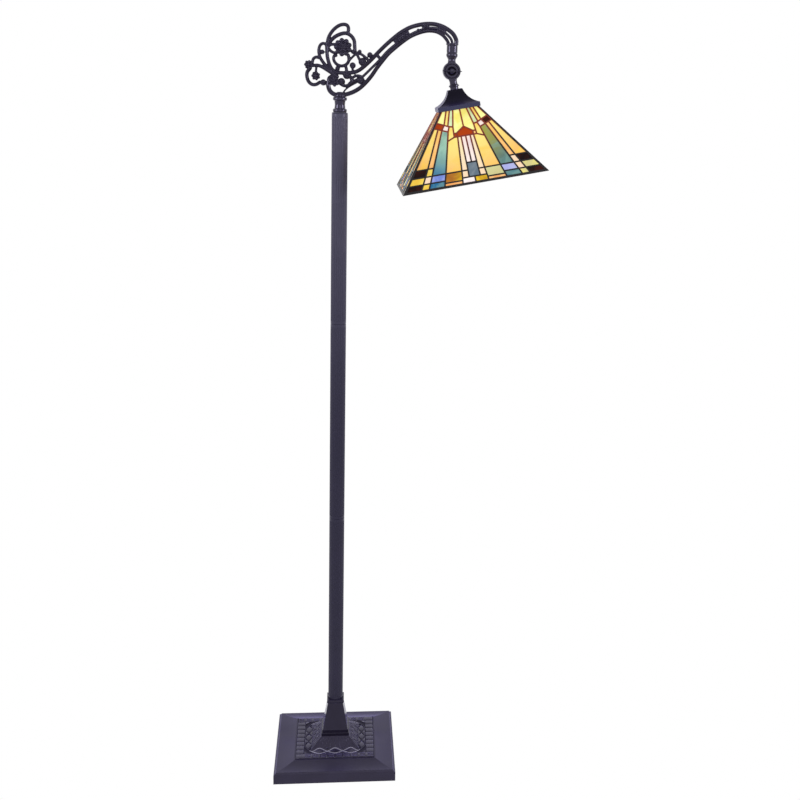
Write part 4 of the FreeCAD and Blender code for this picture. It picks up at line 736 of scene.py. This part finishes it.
# Outlines as (radius, height) in tenths of a millimetre: the boss on the neck, then the end barrel,
# up from its edge and down from its top
BOSS = ((0, 0), (102, 0), (106, 12), (100, 50), (80, 82), (50, 98),
        (0, 102))
BARREL_FOOT = (
    (0, 0), (100, 0), (108, 8), (110, 20), (110, 44), (106, 56),
    (98, 64), (100, 74), (105, 80), (105, 83))
BARREL_HEAD = (
    (105, 59), (105, 56), (101, 44), (108, 40), (117, 34),
    (120, 26), (120, 10), (116, 3), (109, 0), (0, 0))
# The barrel begins this far under the knuckle's top and ends at this place above the foot
BARREL_LAP, BARREL_TOP = 0.0110, 507


def of_reach(thousandths):
    return thousandths / 1000 * REACH


def on_arm(place):
    """The point in the arm's plane."""
    return Vector((of_reach(place[0]), 0.0, FOOT + of_reach(place[1])))


def deeper(distance):
    """A step through the thickness of the arm."""
    return Vector((0.0, distance, 0.0))


def arm_line(places, steps=7):
    return flowing([on_arm(place) for place in places], steps)


def band(bm, points, start, end, depth):
    """A bar of the casting that tapers from start to end, with a low ridge along both its faces."""
    line = arm_line(points)
    last = len(line) - 1
    first_share, last_share = start / 1000, end / 1000
    radii = []
    for i in range(len(line)):
        share = first_share + (last_share - first_share) * i / last
        wide = share * REACH / 2 + bpy.context.scene.lamp_shape.skin_growth
        radii.append((wide, min(depth / 2, wide * DEEPEST)))
    tube(bm, line, radii)
    if min(start, end) > RIDGED_FROM:
        for side in (-1.0, 1.0):
            ridge = [point + deeper(side * (deep - RIDGE_SUNK)) for point, (_, deep) in zip(line, radii)]
            tube(bm, ridge, [(wide * RIDGE_WIDTH, RIDGE_HEIGHT) for wide, _ in radii], sides=8)


def lumps_round(bm, centre, count, out, lift, radii, start=0.0, turn=0.0, detail=2):
    """Lumps in a ring about a centre, raised from it to the front and to the back."""
    for side in (-1.0, 1.0):
        for k in range(count):
            angle = 2 * math.pi * k / count + start
            outward = Vector((math.cos(angle), 0.0, math.sin(angle)))
            lump(bm, centre + outward * out + deeper(side * lift), radii, angle + turn, detail)


def rosette(bm, x, z, radius, petals):
    """Round petals about a folded bud."""
    size, centre, depth = of_reach(radius), on_arm((x, z)), ROSETTE_DEPTH
    half_step, folds = math.pi / petals, petals - 3
    petal = (1.08 * math.sin(half_step) * 0.70 * size, depth * 0.28)
    lump(bm, centre, (size * 0.66, depth * 0.40, size * 0.66))
    lumps_round(bm, centre, petals, size * 0.70, depth * 0.16, (*petal, petal[0]), half_step, detail=3)
    fold = (size * 0.20, depth * 0.17, size * (0.86 / folds))
    lumps_round(bm, centre, folds, size * 0.34, depth * 0.36, fold)
    lumps_round(bm, centre, 1, 0.0, depth * 0.43, (size * 0.15, depth * 0.13, size * 0.15))


def bud(bm, x, z, radius):
    """A round bud with three folds."""
    size, centre, depth = of_reach(radius), on_arm((x, z)), BUD_DEPTH
    fold = (size * 0.44, depth * 0.17, size * 0.34)
    lump(bm, centre, (size * 0.98, depth * 0.48, size * 0.98))
    lumps_round(bm, centre, 3, size * 0.40, depth * 0.32, fold, start=0.5, turn=0.8)


def leaf_block(bm, depth):
    """A block between the rails, carved with leaves on both faces."""
    line, half = arm_line(LEAF_BLOCK, 5), of_reach(36)
    tube(bm, line, (half, depth * 0.38), sides=16, end=0.15)
    start, stop = line[0], line[-1]
    along = (stop - start).normalized()
    turn = math.atan2(along.z, along.x)
    across = Vector((-along.z, 0.0, along.x))
    span = (stop - start).length
    for side in (-1.0, 1.0):
        face = deeper(side * depth * 0.42)
        for k in range(4):
            foot = start + along * (span * (k + 0.3) / 4) + face
            for hand in (-1.0, 1.0):
                lump(bm, foot + across * (hand * half * 0.46), (half * 0.56, depth * 0.19, half * 0.20),
                     turn + hand * 0.85, detail=2)
        midrib = [start + face * 1.1 + along * (span * t / 4) for t in range(5)]
        tube(bm, midrib, MIDRIB_RADII, sides=8)


def ridge_collar(bm, depth):
    """A tie round the two rails, with three ridges."""
    half = of_reach(40)
    tube(bm, arm_line(RIDGE_COLLAR, 4), (half * 0.86, depth * 0.40), sides=16, end=0.1)
    for place in RIDGE_COLLAR:
        lump(bm, on_arm(place), (COLLAR_RIDGE, depth * 0.60, half))


def end_block(bm, depth):
    """The short web before the barrel, with a small leaf on both faces."""
    line = arm_line(END_BLOCK, 5)
    tube(bm, line, (of_reach(31), depth * 0.42), sides=16, end=0.15)
    lumps_round(bm, line[2], 1, 0.0, depth * 0.42, END_LEAF_RADII, turn=-0.6, detail=3)


class LAMP_OT_arm(Operator):
    """Casts the scrolls, flowers, leaf block and collars of the arm as one skin, and turns its barrel"""
    bl_idname = "lamp.arm"
    bl_label = "Scroll arm"

    def execute(self, context):
        shape = context.scene.lamp_shape
        depth = shape.scroll_depth
        bm = bmesh.new()
        for start, end, points in BANDS.values():
            band(bm, points, start, end, depth)
        tube(bm, [on_arm(point) for point in CROSS_BAND], (CROSS_BAND_HALF, depth * 0.5), end=0.2)
        for place in BUDS:
            bud(bm, *place)
        for place in ROSETTES:
            rosette(bm, *place)
        leaf_block(bm, BLOCK_DEPTH)
        ridge_collar(bm, BLOCK_DEPTH)
        end_block(bm, END_BLOCK_DEPTH)
        lathe(bm, from_level(0.0, BOSS), 48, Matrix.Translation(UPWARD * FOOT))
        skin = fused("scroll_casting", mesh_from(bm, "scrolls"), shape.scroll_grain, smooth_steps=3)
        for corner in skin.vertices:
            corner.co.z = min(corner.co.z, CAD_BOX[1][2])
        add_piece("scroll_casting", skin, "cast_paint", "arm", ["arm_casting"])

        bm = bmesh.new()
        outline = from_level(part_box("knuckle_rear")[1].z - BARREL_LAP, BARREL_FOOT)
        outline += from_level(FOOT + of_reach(BARREL_TOP), BARREL_HEAD, -1.0)
        lathe(bm, outline, 72, Matrix.Translation(Vector((REACH, 0.0, 0.0))))
        barrel = mesh_from(bm, "end_barrel", sharp=0.9)
        add_piece("arm_end_barrel", barrel, "turned_paint", "arm", ["arm_casting"])
        dress("turned_paint", "arm_neck", "arm_conduit")
        dress("steel", "neck_stud")
        dress("fibre", "friction_washer")
        soften("arm_neck", shape.edge_round)
        return {"FINISHED"}


# Relief of the base, in metres. The border is a ring of cells with three bars each.
BORDER_GAP, BORDER_CELLS = 0.0018, 9
BAR_RADII, BAR_INSET, BAR_ROWS_TAKE = (0.0026, 0.0012), 0.0027, 0.0052
BAR_START, BAR_STOP, CELL_SHIFT = 0.0034, 0.0018, 0.0008
# Half the plate under the bars of a cell, and half the bridge between cells, as shares of the cell
PLATE_ALONG, PLATE_ACROSS, BRIDGE_ACROSS = 0.56, 0.60, 0.58
BRIDGE_ALONG = 0.0034
WAVE_GAP, WAVE_HEIGHT = 0.0012, 0.0014
VALLEY_EDGE, VALLEY_HEART = 0.0006, 0.70
CORNER_HALF, CORNER_PLACE = 0.006, 0.45
RIB_PITCH, RIB_GAP, RIB_STOP, RIB_FAN = 0.0110, 0.0010, 0.0030, 0.62
LEAF_RADII, LEAF_DROPS = (0.0034, 0.0040, 0.0011), (0.0105, 0.0040)
# Rings of a raised field: their share of its outline, and their height
FIELD_RINGS = ((0.82, -0.0002), (0.78, 0.0007), (0.66, 0.0011))


class LAMP_OT_base(Operator):
    """Lays the raised border, waves, ribs and leaves on the base, and paints its castings"""
    bl_idname = "lamp.base"
    bl_label = "Base and relief"

    def execute(self, context):
        shape = context.scene.lamp_shape
        bead, strip, swing = shape.relief_bead, shape.relief_strip, shape.relief_wave
        foot, crown = shape.mound_half, shape.mound_top_half
        bars, arcs, fields, plates, bridges, leaves = [], [], [], [], [], []

        def on_base(s, t):
            """A point of the front quarter: s along its border, t out from the middle."""
            rise = min(max((foot - t) / (foot - crown), 0.0), 1.0) * shape.mound_rise
            return Vector((s, -t, shape.panel_height + rise))

        def line(width, height, *places):
            return width, height, [on_base(s, t) for s, t in places]

        def oblong(s, t, half_s, half_t):
            corners = ((-1, -1), (1, -1), (1, 1), (-1, 1))
            return (s, t), [(s + a * half_s, t + b * half_t) for a, b in corners]

        # The border: three bars in a cell, a plate under them or a bridge between the cells
        outer = shape.panel_half - BORDER_GAP
        pitch = (2 * outer - strip) / BORDER_CELLS
        for k in range(BORDER_CELLS):
            start = strip - outer + k * pitch
            for row in range(3):
                t = outer - BAR_INSET - row * (strip - BAR_ROWS_TAKE) / 2
                bars.append(line(*BAR_RADII, (start + BAR_START, t), (start + pitch - BAR_STOP, t)))
            edge, t = start + CELL_SHIFT, outer - strip / 2
            plates.append(oblong(edge + pitch / 2, t, pitch * PLATE_ALONG, strip * PLATE_ACROSS))
            bridges.append(oblong(edge, t, BRIDGE_ALONG, strip * BRIDGE_ACROSS))

        # The woven waves, their way round the corner, and the raised fields in them
        crossing = (outer - strip) / 2
        starts = [k * crossing for k in (-1.5, -0.5, 0.5)]
        middle = outer - strip - swing - WAVE_GAP
        turned_out = (1.5 * crossing + middle) / 2
        swings = [(k / 8, math.sin(math.pi * k / 8)) for k in range(9)]

        def wave(start, way):
            return [(start + share * crossing, middle + way * swing * swung) for share, swung in swings]

        for hand in (-1.0, 1.0):
            for start in starts:
                arcs.append(line(bead, WAVE_HEIGHT, *wave(start, hand)))
            last = (hand * 1.5 * crossing, middle)
            arcs.append(line(bead, WAVE_HEIGHT, last, (hand * turned_out, turned_out)))
            for node in starts[1:]:
                valley = [(node + (share - 0.5) * crossing,
                           middle + hand * swing * abs(math.cos(math.pi * share))) for share, _ in swings]
                valley.append((node, middle + hand * (swing + VALLEY_EDGE)))
                fields.append(((node, middle + hand * swing * VALLEY_HEART), valley))
        for start in starts:
            fields.append(((start + crossing / 2, middle), wave(start, 1.0) + wave(start, -1.0)[-2:0:-1]))
        corner = middle + swing * CORNER_PLACE
        near, far = corner - CORNER_HALF, corner + CORNER_HALF
        fields.append(((corner, corner), [(near, far), (far, far), (far, near)]))

        # Ribs that lean together up the mound, with leaves between them
        low, high = middle - swing - RIB_GAP, crown + RIB_STOP
        for k in range(-4, 5):
            s = k * RIB_PITCH
            if abs(s) < low:
                bars.append(line(bead, bead, (s, low), (s * RIB_FAN, high)))
        for k in range(-4, 4):
            drop = LEAF_DROPS[k % 2]
            closer = 1 - (1 - RIB_FAN) * drop / (low - high)
            leaves.append(((k + 0.5) * RIB_PITCH * closer, low - drop))

        # All four quarters, turned round the middle. The arcs of the front and back take a painted glint, a
        # paler paint than on the sides
        bm, rubbed = bmesh.new(), bmesh.new()
        slope = Matrix.Rotation(math.atan2(shape.mound_rise, foot - crown), 4, "X")
        for quarter in range(4):
            turn = Matrix.Rotation(quarter * math.pi / 2, 3, "Z")
            sideways = quarter % 2
            for target, kept in ((bm, bars), (bm if sideways else rubbed, arcs)):
                for width, height, points in kept:
                    tube(target, [turn @ point for point in points], (width, height), 8, UPWARD, 0.5)
            if sideways:
                for s, t in leaves:
                    lump(bm, turn @ on_base(s, t), LEAF_RADII, lean=turn.to_4x4() @ slope, detail=2)
            for (s, t), points in fields + (plates if sideways else bridges):
                rings = []
                for share, height in FIELD_RINGS:
                    ring = [on_base(s + (a - s) * share, t + (b - t) * share) for a, b in points]
                    rings.append([bm.verts.new(turn @ (point + UPWARD * height)) for point in ring])
                close_rings(bm, rings)
        add_piece("base_relief", mesh_from(bm, "relief", sharp=1.2), "relief_paint", "stand")
        # The arcs of the front and back, with their painted glint
        add_piece("base_relief_arcs", mesh_from(rubbed, "arcs", sharp=1.2), "rubbed_paint", "stand")
        dress("base_paint", "base_plinth")
        dress("cast_paint", "base_riser")
        dress("felt", "foot_pad")
        dress("steel", "cover_plate", "cover_screws", "tie_washer", "tie_nut", "tie_tube")
        dress("iron", "base_ballast")
        dress("bushing", "cord_grommet")
        return {"FINISHED"}


class LAMP_OT_pole(Operator):
    """Paints the reeded pole and finishes what is inside it"""
    bl_idname = "lamp.pole"
    bl_label = "Pole"

    def execute(self, context):
        dress("pole_paint", "pole_lower", "pole_middle", "pole_upper", "pole_top_plug")
        dress("steel", "pole_inserts", "joint_nipples", "swivel_stem")
        dress("bushing", "thrust_washer")
        return {"FINISHED"}


# The wing screw in tenths of a millimetre: its shank from the back, its head from the front
SCREW_SHANK = ((0, 0), (28, 0), (30, 4))
SCREW_HEAD = (
    (30, 136), (44, 130), (48, 118), (46, 90), (43, 40),
    (46, 32), (42, 16), (30, 4), (0, 0))
# Points of a wing: their share of the span, and how far they lie behind the front of the screw
WING = ((0.12, 0.0080), (0.45, 0.0068), (0.75, 0.0052), (0.960, 0.0038))
WING_ROOT, WING_THINS = (0.0026, 0.0022), (0.0019, 0.0015)


class LAMP_OT_knuckle(Operator):
    """Paints the knuckle and shapes the wing screw"""
    bl_idname = "lamp.knuckle"
    bl_label = "Knuckle and wing screw"

    def execute(self, context):
        dress("knuckle_paint", "knuckle_front", "knuckle_rear")
        low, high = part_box("wing_screw")
        to_front = Matrix.Translation(Vector((PIVOT.x, 0.0, PIVOT.z))) @ Matrix.Rotation(math.pi / 2, 4, "X")
        front, back, span = -low.y, -high.y, (high.x - low.x) / 2
        bm = bmesh.new()
        lathe(bm, from_level(back, SCREW_SHANK) + from_level(front, SCREW_HEAD, -1.0), 40, to_front)
        for hand in (-1.0, 1.0):
            blade = flowing([Vector((PIVOT.x + hand * share * span, -front + behind, PIVOT.z))
                             for share, behind in WING], 5)
            last = len(blade) - 1
            radii = [tuple(root - thins * i / last for root, thins in zip(WING_ROOT, WING_THINS))
                     for i in range(last + 1)]
            tube(bm, blade, radii, 14, UPWARD)
        skin = fused("wing_screw_cast", mesh_from(bm, "wings"), grain=0.0003, smooth_steps=2)
        add_piece("wing_screw_cast", skin, "screw_paint", "wing_screw", ["wing_screw"])
        return {"FINISHED"}


class LAMP_OT_shade(Operator):
    """Lights the leaded glass and finishes the came, the cap and the hardware under it"""
    bl_idname = "lamp.shade"
    bl_label = "Leaded shade"

    def execute(self, context):
        for name in NODES:
            if name.startswith("glass_"):
                dress(name, name)
        dress("solder", "came_front", "came_right", "came_back", "came_left")
        dress("dark_solder", "hip_cames", "rim_channel", "shade_top_ring")
        dress("cap_paint", "shade_cap")
        dress("steel", "cap_washer", "shade_nipple", "nipple_nuts", "shade_crossbar")
        return {"FINISHED"}


class LAMP_OT_bulb(Operator):
    """Finishes the lamp holder and lights the bulb"""
    bl_idname = "lamp.bulb"
    bl_label = "Holder and bulb"

    def execute(self, context):
        dress("brass", "holder_cap", "holder_shell", "holder_contact", "bulb_contact")
        dress("bushing", "holder_insulator")
        dress("screw_shell", "holder_screw_shell", "bulb_cap")
        dress("bulb", "bulb_glass")
        return {"FINISHED"}


# Lamps of the stage: name, place, size in metres and watts
LIGHTS = (
    ("left", (-2.4, -1.2, 1.8), 0.9, 30.0), ("right", (2.6, -1.2, 1.7), 0.9, 32.0),
    ("front", (0.3, -2.6, 2.3), 1.0, 9.0))
LIGHTS_AIM = Vector((0.12, 0.0, 0.8))
FLOOR_HALF = 9.0
# The camera that the photograph was taken with, as it was fitted: place in metres, turn in degrees
CAMERA_PLACE = Vector((0.0101, -2.3621, 1.4194))
CAMERA_YAW, CAMERA_PITCH, CAMERA_ROLL = 6.87, -13.37, 2.08
CAMERA_LENS, CAMERA_SHIFT = 53.26, (-0.102, -0.0315)


class LAMP_OT_stage(Operator):
    """Sets the floor, the white room, the lamps and the camera"""
    bl_idname = "lamp.stage"
    bl_label = "Stage"

    def execute(self, context):
        scene = context.scene
        scene.view_settings.view_transform = "Standard"
        bm = bmesh.new()
        bmesh.ops.create_grid(bm, x_segments=1, y_segments=1, size=FLOOR_HALF)
        mesh = bpy.data.meshes.new("floor")
        bm.to_mesh(mesh)
        bm.free()
        put("floor", mesh)
        recipe = blank("pale_floor")
        worn = recipe.remap(recipe.noise(3.0, 2.0), 0.3, 0.7, 0.0, 0.2)
        tone = recipe.mix(worn, (0.82, 0.82, 0.83), (0.86, 0.86, 0.86))
        matt = recipe.node("ShaderNodeBsdfDiffuse", {"Color": tone})
        white = recipe.node("ShaderNodeEmission", {"Color": (1.0, 1.0, 1.0), "Strength": 1.0})
        both = recipe.node("ShaderNodeMixShader", {0: recipe.seen(), 1: matt, 2: white})
        recipe.node("ShaderNodeOutputMaterial", {"Surface": both})
        mesh.materials.append(recipe.owner)

        scene.world = bpy.data.worlds.new("white_room")
        room = Recipe(scene.world)
        soft = room.node("ShaderNodeBackground", {"Color": (0.93, 0.95, 1.0), "Strength": 0.45})
        bright = room.node("ShaderNodeBackground", {"Color": (1.0, 1.0, 1.0), "Strength": 1.0})
        both = room.node("ShaderNodeMixShader", {0: room.seen(), 1: soft, 2: bright})
        room.node("ShaderNodeOutputWorld", {"Surface": both})

        for name, place, size, watts in LIGHTS:
            lamp = bpy.data.lights.new(name, "AREA")
            lamp.size = size
            lamp.energy = watts
            holder = put(name, lamp)
            holder.location = place
            holder.rotation_euler = (LIGHTS_AIM - Vector(place)).to_track_quat("-Z", "Y").to_euler()

        yaw, pitch, roll = (math.radians(angle) for angle in (CAMERA_YAW, CAMERA_PITCH, CAMERA_ROLL))
        ahead = Vector((math.sin(yaw) * math.cos(pitch), math.cos(yaw) * math.cos(pitch), math.sin(pitch)))
        right = Vector((math.cos(yaw), -math.sin(yaw), 0.0))
        upward = right.cross(ahead)
        side = right * math.cos(roll) + upward * math.sin(roll)
        over = upward * math.cos(roll) - right * math.sin(roll)
        lens = bpy.data.cameras.new("camera")
        lens.lens = CAMERA_LENS
        lens.shift_x, lens.shift_y = CAMERA_SHIFT
        eye = put("camera", lens)
        looks = Matrix((side, over, -ahead)).transposed().to_4x4()
        eye.matrix_world = Matrix.Translation(CAMERA_PLACE) @ looks
        scene.camera = eye
        return {"FINISHED"}


STEPS = (LAMP_OT_stage, LAMP_OT_base, LAMP_OT_pole, LAMP_OT_arm, LAMP_OT_knuckle, LAMP_OT_shade, LAMP_OT_bulb)


class LAMP_PT_panel(Panel):
    """The lamp's sizes, colours and steps"""
    bl_idname = "LAMP_PT_panel"
    bl_label = "Floor lamp"
    bl_space_type = "VIEW_3D"
    bl_region_type = "UI"
    bl_category = "Lamp"

    def draw(self, context):
        for group in (context.scene.lamp_shape, context.scene.lamp_colours, context.scene.glass_colours):
            box = self.layout.box()
            for name in group.__annotations__:
                box.prop(group, name)
        for step in STEPS:
            self.layout.operator(step.bl_idname)


CLASSES = (LampShape, LampColours, GlassColours, *STEPS, LAMP_PT_panel)


def register():
    for made in CLASSES:
        bpy.utils.register_class(made)
    bpy.types.Scene.lamp_shape = PointerProperty(type=LampShape)
    bpy.types.Scene.lamp_colours = PointerProperty(type=LampColours)
    bpy.types.Scene.glass_colours = PointerProperty(type=GlassColours)


def unregister():
    del bpy.types.Scene.glass_colours
    del bpy.types.Scene.lamp_colours
    del bpy.types.Scene.lamp_shape
    for made in reversed(CLASSES):
        bpy.utils.unregister_class(made)


def main():
    register()
    for step in STEPS:
        family, name = step.bl_idname.split(".")
        getattr(getattr(bpy.ops, family), name)()


if __name__ == "__main__":
    main()
